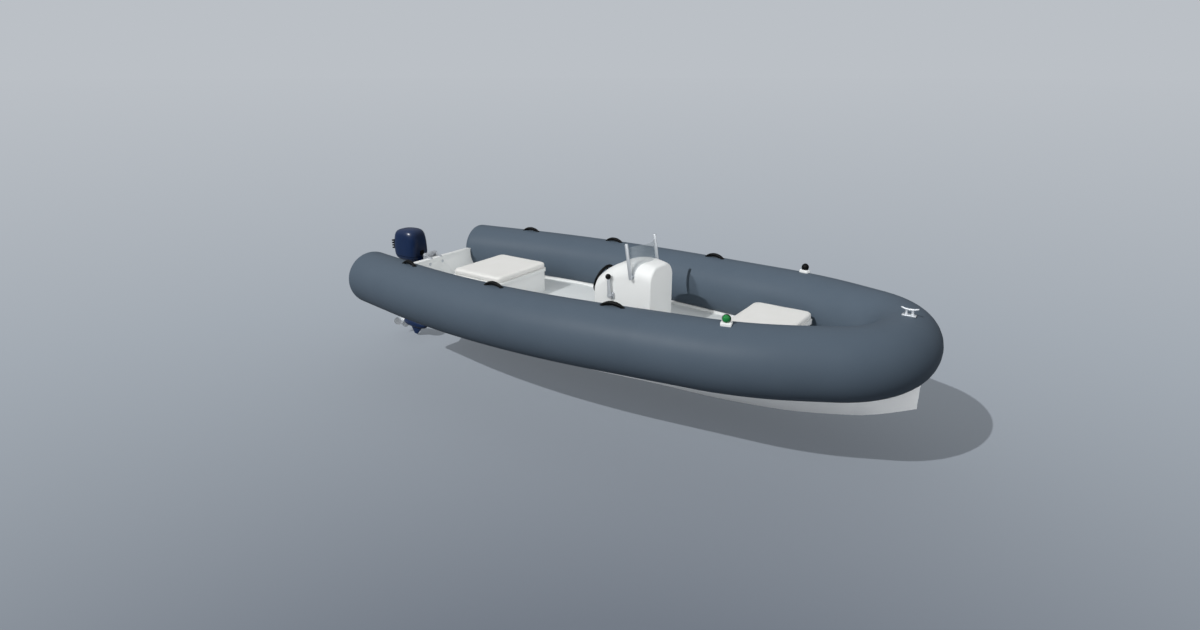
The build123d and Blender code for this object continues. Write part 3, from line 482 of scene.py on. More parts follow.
# ---- making shapes ----
def finished(name, bm, material, body, *nodes, crease=35.0):
    """Make a piece of a bmesh, with edges sharper than crease degrees kept crisp."""
    mesh = bpy.data.meshes.new(name)
    bm.to_mesh(mesh)
    bm.free()
    mesh.materials.append(material)
    mesh.shade_smooth()
    mesh.set_sharp_from_angle(angle=radians(crease))
    piece = bpy.data.objects.new(name, mesh)
    bpy.context.scene.collection.objects.link(piece)
    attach(piece, body)
    if nodes:
        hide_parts(*nodes)
    return piece


def absorb(bm, other, matrix=Matrix.Identity(4)):
    """Move another bmesh's shape, placed by a matrix, into this one."""
    bmesh.ops.transform(other, matrix=matrix, verts=other.verts)
    carrier = bpy.data.meshes.new("carrier")
    other.to_mesh(carrier)
    other.free()
    bm.from_mesh(carrier)
    bpy.data.meshes.remove(carrier)


def aimed(origin, direction):
    """A matrix that stands a shape made about +Z at origin, along direction."""
    turn = Vector((0, 0, 1)).rotation_difference(Vector(direction))
    return Matrix.Translation(origin) @ turn.to_matrix().to_4x4()


def outer_ring(grown):
    """The new edges and corners of an extruded ring."""
    edges = [g for g in grown if isinstance(g, bmesh.types.BMEdge) and g.is_boundary]
    return edges, [g for g in grown if isinstance(g, bmesh.types.BMVert)]


def bar(stations, segments=24):
    """A round bar through stations of point, direction and radius."""
    bm = bmesh.new()
    bmesh.ops.create_circle(bm, cap_ends=True, radius=1.0, segments=segments)
    turn = Vector((0, 0, 1)).rotation_difference(Vector(stations[0][1]))
    edges = list(bm.edges)
    corners = list(bm.verts)
    placed = Matrix.Identity(4)
    heading = Vector(stations[0][1])
    for number, (point, direction, radius) in enumerate(stations):
        turn = heading.rotation_difference(Vector(direction)) @ turn
        heading = Vector(direction)
        target = Matrix.Translation(point) @ turn.to_matrix().to_4x4() @ Matrix.Scale(radius, 4)
        if number:
            edges, corners = outer_ring(bmesh.ops.extrude_edge_only(bm, edges=edges)["geom"])
        bmesh.ops.transform(bm, matrix=target @ placed.inverted(), verts=corners)
        placed = target
    bmesh.ops.contextual_create(bm, geom=edges)
    bmesh.ops.recalc_face_normals(bm, faces=bm.faces)
    return bm


def turned(profile, steps=48):
    """A lathe-turned shape about Z from a radius, height profile."""
    bm = bmesh.new()
    points = [bm.verts.new((radius, 0, height)) for radius, height in profile]
    edges = [bm.edges.new(pair) for pair in zip(points, points[1:])]
    bmesh.ops.spin(bm, geom=points + edges, axis=(0, 0, 1), cent=(0, 0, 0), angle=2 * pi, steps=steps,
                   use_merge=True)
    bmesh.ops.remove_doubles(bm, verts=bm.verts, dist=1e-6)
    bmesh.ops.recalc_face_normals(bm, faces=bm.faces)
    return bm


def skinned(outlines):
    """A closed skin through outlines with the same number of points each."""
    bm = bmesh.new()
    rings = []
    for outline in outlines:
        corners = [bm.verts.new(point) for point in outline]
        rings.append([bm.edges.new(pair) for pair in zip(corners, corners[1:] + corners[:1])])
    for ring, onward in zip(rings, rings[1:]):
        bmesh.ops.bridge_loops(bm, edges=ring + onward)
    for end in (rings[0], rings[-1]):
        bmesh.ops.contextual_create(bm, geom=end)
    bmesh.ops.recalc_face_normals(bm, faces=bm.faces)
    return bm


def rounded_block(size, middle, radius, segments=3):
    """A block with every edge rounded."""
    bm = bmesh.new()
    bmesh.ops.create_cube(bm, size=1.0)
    bmesh.ops.scale(bm, vec=size, verts=bm.verts)
    bmesh.ops.bevel(bm, geom=list(bm.edges), offset=radius, segments=segments, profile=0.5, affect="EDGES",
                    material=-1, clamp_overlap=True)
    bmesh.ops.translate(bm, vec=middle, verts=bm.verts)
    return bm


# ---- the collar ----
def route_spans():
    """The collar's whole centreline, starboard stern to port stern: straight runs and arcs.

    Each span is its start, its direction there, its length and, for an arc, its centre and axle.
    """
    corners = [(Vector((x, -y, z)), r) for x, y, z, r in COLLAR]
    corners += [(Vector((x, y, z)), r) for x, y, z, r in reversed(COLLAR)]
    spans = []
    here = corners[0][0]
    for (_, _), (corner, radius), (onward, _) in zip(corners, corners[1:], corners[2:]):
        before = (corner - here).normalized()
        after = (onward - corner).normalized()
        turn = before.angle(after)
        back = radius * tan(turn / 2)
        into = corner - before * back
        axle = before.cross(after).normalized()
        centre = into + axle.cross(before) * radius
        spans.append((here, before, (into - here).length, None, None))
        spans.append((into, before, radius * turn, centre, axle))
        here = corner + after * back
    last = corners[-1][0] - here
    spans.append((here, last.normalized(), last.length, None, None))
    return spans


SPANS = route_spans()
ROUTE_L = sum(span[2] for span in SPANS)


def route_at(distance):
    """Point and direction on the collar's centreline."""
    for start, heading, length, centre, axle in SPANS:
        if distance <= length or (start, heading) == SPANS[-1][:2]:
            break
        distance -= length
    if centre is None:
        return start + heading * distance, heading
    turn = Matrix.Rotation(distance / (start - centre).length, 3, axle)
    return centre + turn @ (start - centre), turn @ heading


def route_to(x):
    """Distance along the starboard half at which the centreline reaches x."""
    low, high = 0.0, ROUTE_L / 2
    while high - low > 1e-6:
        middle = (low + high) / 2
        if route_at(middle)[0].x < x:
            low = middle
        else:
            high = middle
    return low


def chamber(name, start, end, node):
    """One air chamber of the collar, between its bulkhead seams."""
    steps = round((end - start) / CHAMBER_STEP)
    stations = [route_at(start + (end - start) * k / steps) + (TUBE_R,) for k in range(steps + 1)]
    return finished(name, bar(stations, segments=TUBE_SIDES), FABRIC, "boat", node, crease=60.0)


def stern_end(name, distance, outward, *nodes):
    """The rounded end of a chamber: a rim arc that runs on into a flatter crown."""
    point, heading = route_at(distance)
    flat = (TUBE_R ** 2 - 2 * TUBE_R * STERN_RIM + STERN_DOME ** 2) / (2 * (STERN_DOME - STERN_RIM))
    reach = flat - STERN_RIM
    inner = TUBE_R - STERN_RIM
    joint = Vector((inner + STERN_RIM * inner / reach, STERN_RIM * (flat - STERN_DOME) / reach))
    rim_turn = atan2(joint.y, joint.x - TUBE_R + STERN_RIM)
    crown_turn = atan2(joint.x, flat - STERN_DOME + joint.y)
    steps = 10
    profile = [(inner + STERN_RIM * cos(rim_turn * k / steps), STERN_RIM * sin(rim_turn * k / steps))
               for k in range(steps + 1)]
    profile += [(flat * sin(crown_turn * k / steps), STERN_DOME - flat + flat * cos(crown_turn * k / steps))
                for k in range(steps - 1, -1, -1)]
    bm = bmesh.new()
    absorb(bm, turned(profile, steps=TUBE_SIDES), aimed(point, heading * outward))
    return finished(name, bm, FABRIC, "boat", *nodes, crease=60.0)


def make_collar():
    """Five air chambers and two stern ends, from the starboard stern round to the port one."""
    aft, fore = route_to(SEAM_AFT), route_to(SEAM_FORE)
    chamber("collar_stern_starboard", 0.0, aft, "tube_stern_starboard")
    chamber("collar_side_starboard", aft, fore, "tube_side_starboard")
    chamber("collar_bow", fore, ROUTE_L - fore, "tube_bow")
    chamber("collar_side_port", ROUTE_L - fore, ROUTE_L - aft, "tube_side_port")
    chamber("collar_stern_port", ROUTE_L - aft, ROUTE_L, "tube_stern_port")
    stern_end("collar_end_starboard", 0.0, -1, "tube_stern_ends")
    stern_end("collar_end_port", ROUTE_L, 1, "tube_stern_ends")


# ---- the hull ----
def collar_beside(x):
    """Half-breadth and height of the collar's centreline at a station."""
    point, _ = route_at(route_to(x))
    return -point.y, point.z


def hull_edge(x):
    """Half-breadth and height of the hull's upper edge, tucked inside the tube's skin."""
    half, centre = collar_beside(x)
    low = SOLE_Z - SOLE_T if x <= SOLE_FORE else centre - TUBE_R + BITE
    return half - sqrt(max(TUBE_R ** 2 - (centre - low) ** 2, 0.0)) + TUCK, low


def hull_rows():
    """Station table of the hull: x, keel z, chine half-breadth, chine z, edge half-breadth, edge z."""
    rows = [(x, keel, collar_beside(x)[0] - inward, chine) + hull_edge(x)
            for x, keel, chine, inward in STATIONS]
    rows.append(FOREFOOT + hull_edge(FOREFOOT[0]))
    bow_x, _, bow_z, _ = COLLAR[-1]
    under = bow_z - sqrt(TUBE_R ** 2 - (STEM_X - bow_x) ** 2)
    rows.append((STEM_X, STEM_KEEL, STEM_HALF / 2, under - BITE, STEM_HALF, under + BITE))
    return rows


def faired(rows, x):
    """Each column of a station table at x, on a smooth curve through its rows."""
    k = max(0, min(len(rows) - 2, sum(row[0] <= x for row in rows) - 1))
    a, b = rows[k], rows[k + 1]
    before, after = rows[max(k - 1, 0)], rows[min(k + 2, len(rows) - 1)]
    span = b[0] - a[0]
    t = (x - a[0]) / span
    values = []
    for p0, p1, p2, p3 in zip(before[1:], a[1:], b[1:], after[1:]):
        leave = (p2 - p0) / (b[0] - before[0]) * span
        arrive = (p3 - p1) / (after[0] - a[0]) * span
        values.append((2 * t ** 3 - 3 * t ** 2 + 1) * p1 + (t ** 3 - 2 * t ** 2 + t) * leave
                      + (3 * t ** 2 - 2 * t ** 3) * p2 + (t ** 3 - t ** 2) * arrive)
    return values


def make_hull():
    """One fair moulding: a vee bottom, a chine and topsides that run up under the collar."""
    rows = hull_rows()
    aft = TRANSOM_X + TRANSOM_T
    outlines = []
    for k in range(HULL_STEPS + 1):
        x = aft + (STEM_X - aft) * k / HULL_STEPS
        keel, chine_y, chine_z, edge_y, edge_z = faired(rows, x)
        edge_y, edge_z = hull_edge(x) if x < FOREFOOT[0] else (edge_y, edge_z)
        side = [(chine_y * t, keel + (chine_z - keel) * t) for t in (0.25, 0.5, 0.75, 1.0)]
        side += [(chine_y + (edge_y - chine_y) * t, chine_z + (edge_z - chine_z) * t) for t in (0.5, 1.0)]
        outlines.append([(x, 0, keel)] + [(x, y, z) for y, z in side]
                        + [(x, -y, z) for y, z in reversed(side)])
    # the hull takes the paler gelcoat copy: painted light on its shaded bottom
    finished("hull_moulding", skinned(outlines), HULL_GELCOAT_PAINTED_LIGHT, "boat", "hull", crease=28.0)


def softened(name, node, material, body, ease, crease=35.0):
    """A CAD node's shape with its sharp edges eased by a real radius."""
    bm = bmesh.new()
    bm.from_mesh(NODES[node].data)
    bmesh.ops.remove_doubles(bm, verts=bm.verts, dist=1e-6)
    bmesh.ops.dissolve_limit(bm, angle_limit=radians(0.5), verts=bm.verts, edges=bm.edges)
    sharp = [edge for edge in bm.edges if edge.is_manifold and edge.calc_face_angle() > radians(30)]
    bmesh.ops.bevel(bm, geom=sharp, offset=ease, segments=2, profile=0.5, affect="EDGES", material=-1,
                    clamp_overlap=True)
    return finished(name, bm, material, body, node, crease=crease)


# ---- the console, helm, throttle and screen ----
def console_side(x):
    """Half-breadth of the console at a station: it narrows forward."""
    share = (x - CONSOLE_AFT) / (CONSOLE_FORE - CONSOLE_AFT)
    return CONSOLE_HALF_AFT + share * (CONSOLE_HALF_FORE - CONSOLE_HALF_AFT)


def console_crown(x):
    """Height of the console's arched top at a station."""
    return CONSOLE_CROWN_Z - CONSOLE_CROWN_R + sqrt(CONSOLE_CROWN_R ** 2 - (x - CONSOLE_CROWN_X) ** 2)


def console_outline(x, inset):
    """The console's section across the boat, shrunk by inset towards its rounded fore and aft rims."""
    half, crown = console_side(x) - inset, console_crown(x) - inset
    turn = CONSOLE_SHOULDER - inset
    side = [(half, SOLE_Z)]
    for k in range(SHOULDER_STEPS + 1):
        angle = pi / 2 * k / SHOULDER_STEPS
        side.append((half - turn + turn * cos(angle), crown - turn + turn * sin(angle)))
    return [(x, y, z) for y, z in side] + [(x, -y, z) for y, z in reversed(side)]


def console_rim(end, inward):
    """Sections round the rim of an end face, from the face inwards."""
    angles = [pi / 2 * k / RIM_STEPS for k in range(RIM_STEPS + 1)]
    return [console_outline(end + inward * CONSOLE_RIM * (1 - cos(angle)), CONSOLE_RIM * (1 - sin(angle)))
            for angle in angles]


def make_console():
    """One moulding with an arched top, round shoulders and rounded fore and aft rims."""
    outlines = console_rim(CONSOLE_AFT, 1)
    for k in range(1, CONSOLE_STEPS):
        x = CONSOLE_AFT + CONSOLE_RIM + (CONSOLE_FORE - CONSOLE_AFT - 2 * CONSOLE_RIM) * k / CONSOLE_STEPS
        outlines.append(console_outline(x, 0.0))
    outlines += reversed(console_rim(CONSOLE_FORE, -1))
    finished("console_moulding", skinned(outlines), GELCOAT, "boat", "console", crease=40.0)


def helm_aim():
    """The wheel's centre and its shaft's direction."""
    tilt = radians(WHEEL_TILT)
    return Vector((WHEEL_X, 0, WHEEL_Z)), Vector((cos(tilt), 0, -sin(tilt)))


def on_helm():
    """The matrix that lays a shape made about +Z along the wheel's shaft, one spoke upwards."""
    centre, shaft = helm_aim()
    up = Vector((-shaft.z, 0, shaft.x))
    across = up.cross(shaft)
    basis = Matrix((across, up, shaft)).transposed().to_4x4()
    return Matrix.Translation(centre) @ basis


def make_wheel():
    """A soft-rim wheel: a moulded grip, three dished spokes and a round cap."""
    rim_r = WHEEL_R - WHEEL_GRIP
    grip = [(rim_r + WHEEL_GRIP * cos(2 * pi * k / 20), WHEEL_GRIP * sin(2 * pi * k / 20)) for k in range(21)]
    bm = turned(grip, steps=72)
    bmesh.ops.transform(bm, matrix=on_helm(), verts=bm.verts)
    finished("wheel_grip", bm, RUBBER, "helm", "steering_wheel")

    bm = bmesh.new()
    for k in range(SPOKES):
        turn = Matrix.Rotation(2 * pi / SPOKES * k, 4, "Z")
        stations = [(turn @ Vector((0, HUB_R * 0.6 + (rim_r - HUB_R * 0.6) * t, WHEEL_DISH * (1 - t ** 2))),
                     turn @ Vector((0, 1, -2 * t * WHEEL_DISH / rim_r)), SPOKE_R * (1.35 - 0.5 * t))
                    for t in (0, 0.2, 0.4, 0.6, 0.8, 1.0)]
        absorb(bm, bar(stations, segments=16))
    cap = [(0, -0.006), (HUB_R * 0.7, -0.005), (HUB_R * 0.92, -0.001), (HUB_R, 0.006), (HUB_R, HUB_L),
           (HUB_R * 0.8, HUB_L + 0.004), (0, HUB_L + 0.004)]
    absorb(bm, turned(cap))
    absorb(bm, turned([(0, 0), (SHAFT_R, 0), (SHAFT_R, SHAFT_L), (0, SHAFT_L)], steps=24))
    bmesh.ops.transform(bm, matrix=on_helm(), verts=bm.verts)
    finished("wheel_spokes", bm, ABS, "helm", "steering_wheel")


def make_bezel():
    """The helm's mounting bezel, a stepped ring that grows out of the dash."""
    bore = SHAFT_R + 0.001
    bm = turned([(bore, 0.0), (BEZEL_R * 0.62, 0.0), (BEZEL_R * 0.7, 0.003), (BEZEL_R * 0.78, 0.012),
                 (BEZEL_R * 0.96, 0.018), (BEZEL_R, 0.022), (BEZEL_R, BEZEL_L), (bore, BEZEL_L), (bore, 0.0)])
    bmesh.ops.translate(bm, vec=(0, 0, BEZEL_AHEAD), verts=bm.verts)
    bmesh.ops.transform(bm, matrix=on_helm(), verts=bm.verts)
    finished("helm_mounting_bezel", bm, ABS, "boat", "helm_bezel")


def make_throttle():
    """A side-mounted lever: a cast base with a round boss, a tapered bar and a ball."""
    side = -console_side(THROTTLE_X)
    y = side - THROTTLE_DEEP - LEVER_R
    pivot = Vector((THROTTLE_X, y, THROTTLE_Z))
    lean = radians(LEVER_LEAN)
    way = Vector((-sin(lean), 0, cos(lean)))
    bm = rounded_block(THROTTLE_BASE, (THROTTLE_X, side - 0.006, THROTTLE_Z), THROTTLE_EASE, segments=4)
    boss = [(0, 0), (0.019, 0), (0.021, 0.003), (0.021, 0.024), (0.018, 0.028), (0, 0.028)]
    absorb(bm, turned(boss, steps=32), aimed((THROTTLE_X, side - 0.010, THROTTLE_Z), (0, -1, 0)))
    finished("throttle_casting", bm, CASTING, "boat", "throttle_base")
    length = LEVER_L - KNOB_R * 0.6
    bm = bar([(pivot + way * length * t, way, LEVER_R * (1.05 - 0.22 * t)) for t in (0, 0.25, 0.5, 0.75, 1)],
             segments=28)
    eye = [(0, 0), (0.012, 0.001), (0.017, 0.006), (0.017, 0.024), (0.012, 0.029), (0, 0.030)]
    absorb(bm, turned(eye, steps=32), aimed(pivot + Vector((0, 0.015, 0)), (0, -1, 0)))
    finished("throttle_bar", bm, STEEL, "boat", "throttle_lever")
    bm = bmesh.new()
    bmesh.ops.create_uvsphere(bm, u_segments=36, v_segments=24, radius=KNOB_R,
                              matrix=Matrix.Translation(pivot + way * LEVER_L))
    finished("throttle_ball", bm, RUBBER, "boat", "throttle_knob")


def make_screen():
    """Two raked posts of round tube on stub feet, and a bowed acrylic pane held between them."""
    foot, top = Vector((POST_FOOT[0], 0, POST_FOOT[1])), Vector((POST_TOP[0], 0, POST_TOP[1]))
    way = (top - foot).normalized()
    length = (top - foot).length
    ends = [(0.0, 0.55), (0.003, 0.85), (0.008, 1.0), (length - 0.008, 1.0), (length - 0.003, 0.85),
            (length, 0.55)]
    bm = bmesh.new()
    for side in (-1, 1):
        base = foot + Vector((0, side * POST_Y, 0))
        absorb(bm, bar([(base + way * far, way, POST_R * share) for far, share in ends], segments=28))
        face = side * console_side(POST_FOOT[0])
        run = Vector((0, side, 0))
        mount = Vector((POST_FOOT[0], face, POST_FOOT[1] + POST_R + 0.010))
        stub = ((-0.006, STUB_FLANGE_R), (0.002, STUB_FLANGE_R), (0.003, STUB_R),
                (POST_Y - abs(face), STUB_R))
        absorb(bm, bar([(mount + run * far, run, radius) for far, radius in stub], segments=24))
    finished("screen_posts", bm, STEEL, "boat", "windscreen_posts")

    pane_l = (PANE_TOP - POST_FOOT[1]) / way.z
    inner = POST_Y - POST_R / 2
    sweep = [-1 + 2 * k / PANE_COLUMNS for k in range(PANE_COLUMNS + 1)]
    outlines = []
    for row in range(PANE_ROWS + 1):
        lift = foot + way * pane_l * row / PANE_ROWS
        dip = (row / PANE_ROWS) ** 6 * PANE_DIP
        front = [(lift.x + PANE_BOW * (1 - t * t) + PANE_T / 2, inner * t,
                  lift.z - dip * abs(t) ** 6 * pane_l) for t in sweep]
        outlines.append(front + [(x - PANE_T, y, z) for x, y, z in reversed(front)])
    finished("screen_pane", skinned(outlines), CLEAR, "boat", "windscreen_pane", crease=50.0)


# ---- seats ----
def slab(x0, x1, half, corner, low, high, ease):
    """A flat slab with rounded corners in plan and eased rims."""
    bm = bmesh.new()
    bmesh.ops.create_cube(bm, size=1.0)
    bmesh.ops.scale(bm, vec=(x1 - x0, 2 * half, high - low), verts=bm.verts)
    bmesh.ops.translate(bm, vec=((x0 + x1) / 2, 0, (low + high) / 2), verts=bm.verts)
    posts = [e for e in bm.edges if abs(e.verts[0].co.z - e.verts[1].co.z) > (high - low) / 2]
    bmesh.ops.bevel(bm, geom=posts, offset=corner, segments=8, profile=0.5, affect="EDGES", material=-1)
    rims = [e for e in bm.edges if e.calc_face_angle(0.0) > radians(60)]
    bmesh.ops.bevel(bm, geom=rims, offset=ease, segments=4, profile=0.5, affect="EDGES", material=-1)
    return bm


def swell(piece, voxel, lift):
    """Fill a cushion's slip: cloth under pressure on its foam, kept to the lift that the foam allows."""
    rest_low = min(v.co.z for v in piece.data.vertices)
    remesh = piece.modifiers.new("slip", "REMESH")
    remesh.mode = "VOXEL"
    remesh.voxel_size = voxel
    bpy.context.view_layer.update()
    graph = bpy.context.evaluated_depsgraph_get()
    slip = bpy.data.meshes.new_from_object(piece.evaluated_get(graph))
    piece.modifiers.clear()
    piece.data = slip
    slip.materials.clear()
    slip.materials.append(VINYL)
    start = [v.co.copy() for v in slip.vertices]
    cloth = piece.modifiers.new("cover", "CLOTH")
    cloth.settings.use_pressure = True
    cloth.settings.uniform_pressure_force = CLOTH_PRESSURE
    cloth.settings.effector_weights.gravity = 0.0
    cloth.settings.quality = 5
    scene = bpy.context.scene
    for number in range(1, CLOTH_FRAMES + 1):
        scene.frame_set(number)
    swollen = piece.evaluated_get(bpy.context.evaluated_depsgraph_get()).data
    moved = [v.co.copy() for v in swollen.vertices]
    piece.modifiers.clear()
    scene.frame_set(1)
    for vertex, old, new in zip(slip.vertices, start, moved):
        step = new - old
        if step.length > lift:
            step *= lift / step.length
        vertex.co = old + step
        vertex.co.z = max(vertex.co.z, rest_low)
    bm = bmesh.new()
    bm.from_mesh(slip)
    for _ in range(4):
        bmesh.ops.smooth_vert(bm, verts=bm.verts, factor=0.5, use_axis_x=True, use_axis_y=True,
                              use_axis_z=True)
    bm.to_mesh(slip)
    bm.free()
    slip.shade_smooth()


def make_seat(name, x0, x1, half, corner, body):
    """A seat: a moulded locker, a moulded lid that overhangs it, and a boxed foam cushion."""
    softened(name + "_box", name + "_locker", GELCOAT, "boat", LOCKER_EASE)
    softened(name + "_top", name + "_lid", GELCOAT, body, LID_EASE)
    low, high = SEAT_TOP - CUSHION_T, SEAT_TOP
    bm = slab(x0 + CUSHION_IN, x1 - CUSHION_IN, half - CUSHION_IN, corner - CUSHION_IN, low,
              high - CUSHION_LOW, CUSHION_EASE)
    pad = finished(name + "_pad", bm, VINYL, body, name + "_cushion", crease=180.0)
    swell(pad, CUSHION_VOXEL, CUSHION_SWELL)


# ---- fittings on the collar ----
def on_crest(x, side, lean=0.0):
    """A matrix at the tube's skin: X along the tube, Z out of it and leaning outboard by lean degrees."""
    point, heading = route_at(route_to(x))
    point = Vector((point.x, -side * point.y, point.z))
    run = Vector((heading.x, -side * heading.y, 0)).normalized()
    out = Vector((-run.y, run.x, 0)) * side
    normal = Vector((0, 0, cos(radians(lean)))) + out * sin(radians(lean))
    basis = Matrix((run, normal.cross(run), normal)).transposed().to_4x4()
    return Matrix.Translation(point + normal * TUBE_R) @ basis


def handle_shape():
    """A moulded grab handle: a thick arched grip that tapers to its ends, each on a flat round foot."""
    half = HANDLE_SPAN / 2
    reach = (half ** 2 + HANDLE_RISE ** 2) / (2 * HANDLE_RISE)
    turn = atan2(half, reach - HANDLE_RISE)
    stations = []
    for k in range(-HANDLE_STEPS, HANDLE_STEPS + 1):
        share = k / HANDLE_STEPS
        angle = turn * share
        stations.append(((reach * sin(angle), 0, HANDLE_RISE - reach + reach * cos(angle)),
                         (cos(angle), 0, -sin(angle)), HANDLE_R * (1 - HANDLE_TAPER * share ** 2)))
    bm = bar(stations, segments=24)
    for end in (-half, half):
        foot = bmesh.new()
        bmesh.ops.create_uvsphere(foot, u_segments=28, v_segments=14, radius=1.0)
        absorb(bm, foot, Matrix.Translation((end * 0.97, 0, -0.001)) @ Matrix.Diagonal((*HANDLE_FOOT, 1.0)))
    return bm


def make_handles():
    """Three grab handles along the crest of each side."""
    for name, side, stations in HANDLES:
        bm = bmesh.new()
        for x in stations:
            absorb(bm, handle_shape(), on_crest(x, side))
        finished("grips_" + name, bm, RUBBER, "boat", "grab_handles_" + name, crease=50.0)


def make_lights():
    """Side lights: a white moulded foot, a coloured globe and a black half-shell inboard of it."""
    length, width, height = LIGHT_BASE
    globe = Vector((0, 0, height + LENS_RISE))
    feet, hoods = bmesh.new(), bmesh.new()
    for colour, material, side in (("green", GREEN, -1), ("red", RED, 1)):
        place = on_crest(LIGHT_X, side, LIGHT_LEAN)
        foot = rounded_block((length, width, height + LIGHT_FOOT), (0, 0, (height - LIGHT_FOOT) / 2),
                             LIGHT_EASE)
        absorb(feet, foot, place)
        lens = bmesh.new()
        bmesh.ops.create_uvsphere(lens, u_segments=40, v_segments=28, radius=LENS_R)
        bmesh.ops.translate(lens, vec=globe, verts=lens.verts)
        bmesh.ops.transform(lens, matrix=place, verts=lens.verts)
        finished("light_globe_" + colour, lens, material, "boat", "nav_lens_" + colour)
        hood = bmesh.new()
        bmesh.ops.create_uvsphere(hood, u_segments=40, v_segments=28, radius=HOOD_R)
        bmesh.ops.bisect_plane(hood, geom=hood.verts[:] + hood.edges[:] + hood.faces[:], plane_co=(0, 0, 0),
                               plane_no=(0, side, 0), clear_outer=True)
        bmesh.ops.solidify(hood, geom=hood.faces[:], thickness=HOOD_T)
        bmesh.ops.translate(hood, vec=globe, verts=hood.verts)
        absorb(hoods, hood, place)
    finished("light_feet", feet, GELCOAT, "boat", "nav_light_bases")
    finished("light_hoods", hoods, ABS, "boat", "nav_light_hoods")


def make_cleat():
    """A cast horn cleat: a flat foot, two flared legs and a horn that tapers and curls to its tips."""
    _, crown = collar_beside(COLLAR[-1][0])
    top = crown + TUBE_R
    bm = rounded_block(CLEAT_FOOT, (CLEAT_X, 0, top + 0.002), CLEAT_EASE)
    for end in (-1, 1):
        x = CLEAT_X + end * CLEAT_LEG / 2
        absorb(bm, bar([((x, 0, top + z), (0, 0, 1), radius) for z, radius in CLEAT_LEG_SHAPE], segments=20))
    horn = [(-x, radius) for x, radius in reversed(HORN[1:])] + list(HORN)
    absorb(bm, bar([((CLEAT_X + x, 0, top + HORN_Z + HORN_CURL * x * x), (1, 0, 0), radius)
                    for x, radius in horn], segments=20))
    finished("horn_cleat", bm, STEEL, "boat", "bow_cleat", crease=50.0)


# ---- the outboard ----
def rounded_plan(z, along, across, power, slope=0.0):
    """A cowl section: a superellipse at a height, tilted so that the cowl's crown falls away aft."""
    points = []
    for k in range(COWL_SIDES):
        turn = 2 * pi * k / COWL_SIDES
        x = along * copysign(abs(cos(turn)) ** (2 / power), cos(turn))
        y = across * copysign(abs(sin(turn)) ** (2 / power), sin(turn))
        points.append((COWL_X + x, y, z + x * slope))
    return points


def make_cowl():
    """The engine's hood, a glossy barrel with a domed crown, on its lower pan."""
    pan = [rounded_plan(z, along, across, power) for z, along, across, power in PAN_SECTIONS]
    finished("pan_shell", skinned(pan), ENAMEL, "outboard", "lower_pan", crease=40.0)
    hood = [rounded_plan(z, along, across, power, COWL_SLOPE * (z - COWL_SECTIONS[0][0]))
            for z, along, across, power in COWL_SECTIONS]
    finished("cowl_shell", skinned(hood), ENAMEL, "outboard", "cowl", crease=50.0)
    seal = [rounded_plan(z, *SEAL) for z in SEAL_Z]
    finished("cowl_seal", skinned(seal), RUBBER, "outboard", "lower_pan")

    cowl_half = max(half for _, half, _, _ in COWL_SECTIONS)
    aft, fore = COWL_X - cowl_half, COWL_X + cowl_half
    deep, wide, tall = INTAKE
    bm = rounded_block((deep, wide * 0.86, tall * 0.94), (aft + deep * 0.16, 0, INTAKE_Z), 0.008)
    pitch = tall / RIBS
    for k in range(RIBS):
        z = INTAKE_Z - tall / 2 + pitch * (k + 0.5)
        absorb(bm, rounded_block((deep, wide, pitch * 0.52), (aft - deep * 0.12, 0, z), 0.004))
    finished("intake_ribs", bm, ABS, "outboard", "air_intake")
    bm = rounded_block(GROMMET, (fore - 0.002, 0, GROMMET_Z), GROMMET_EASE)
    eye = [(0.004, 0), (0.010, 0.0), (0.012, 0.003), (0.010, 0.007), (0.004, 0.007)]
    for step in (-CABLE_STEP, CABLE_STEP):
        absorb(bm, turned(eye, steps=24),
               aimed((fore + GROMMET[0] / 2 - 0.004, 0, GROMMET_Z + step), (1, 0, 0)))
    finished("cable_boot", bm, RUBBER, "outboard", "cable_grommet")


def foil(z, chord, half, nose=None):
    """A leg section: a blunt rounded nose forward and a fine tail aft."""
    nose = LEG_X + LEG_CHORD / 2 if nose is None else nose
    points = []
    for k in range(13):
        t = k / 12
        x = nose - chord * t ** 1.6
        y = half * (2.4 * sqrt(max(t ** 1.6, 0.0)) * (1 - t ** 1.6) + 0.16 * t) / 0.93
        points.append((x, y, z))
    return points + [(x, -y, z) for x, y, z in reversed(points[1:])]


def make_leg():
    """The motor's leg: an exhaust housing, an anti-ventilation plate, a gearcase with its skeg."""
    leg = [foil(z, LEG_CHORD - less, half) for z, less, half in LEG_SECTIONS]
    finished("leg_housing", skinned(leg), ENAMEL, "outboard", "midsection", crease=50.0)

    fore, aft = LEG_X + LEG_CHORD / 2, LEG_X + LEG_CHORD / 2 - PLATE_L
    bm = slab(aft, fore + 0.006, PLATE_W / 2, PLATE_CORNER, PLATE_Z, PLATE_Z + PLATE_T, PLATE_EASE)
    finished("ventilation_fin", bm, ENAMEL, "outboard", "ventilation_plate")

    bm = skinned([foil(z, LEG_CHORD - less, half) for z, less, half in STRUT_SECTIONS])
    bullet = [(TORPEDO_R * share, far) for share, far in TORPEDO]
    absorb(bm, turned(bullet), aimed((TORPEDO_AFT, 0, PROP_Z), (1, 0, 0)))
    fore_top, fore_foot, aft_foot, aft_top = SKEG
    top, foot = PROP_Z - TORPEDO_R / 3, SKEG_BOTTOM
    blade = []
    for t in (0.0, 0.25, 0.5, 0.75, 0.94, 1.0):
        ahead = fore_top + (fore_foot - fore_top) * t
        behind = aft_top + (aft_foot - aft_top) * t
        half = SKEG_HALF * (1 - SKEG_TAPER * t)
        blade.append(foil(top + (foot - top) * t, ahead - behind, half, nose=ahead))
    absorb(bm, skinned(blade))
    finished("gearcase_casting", bm, ENAMEL, "outboard", "gearcase", crease=45.0)


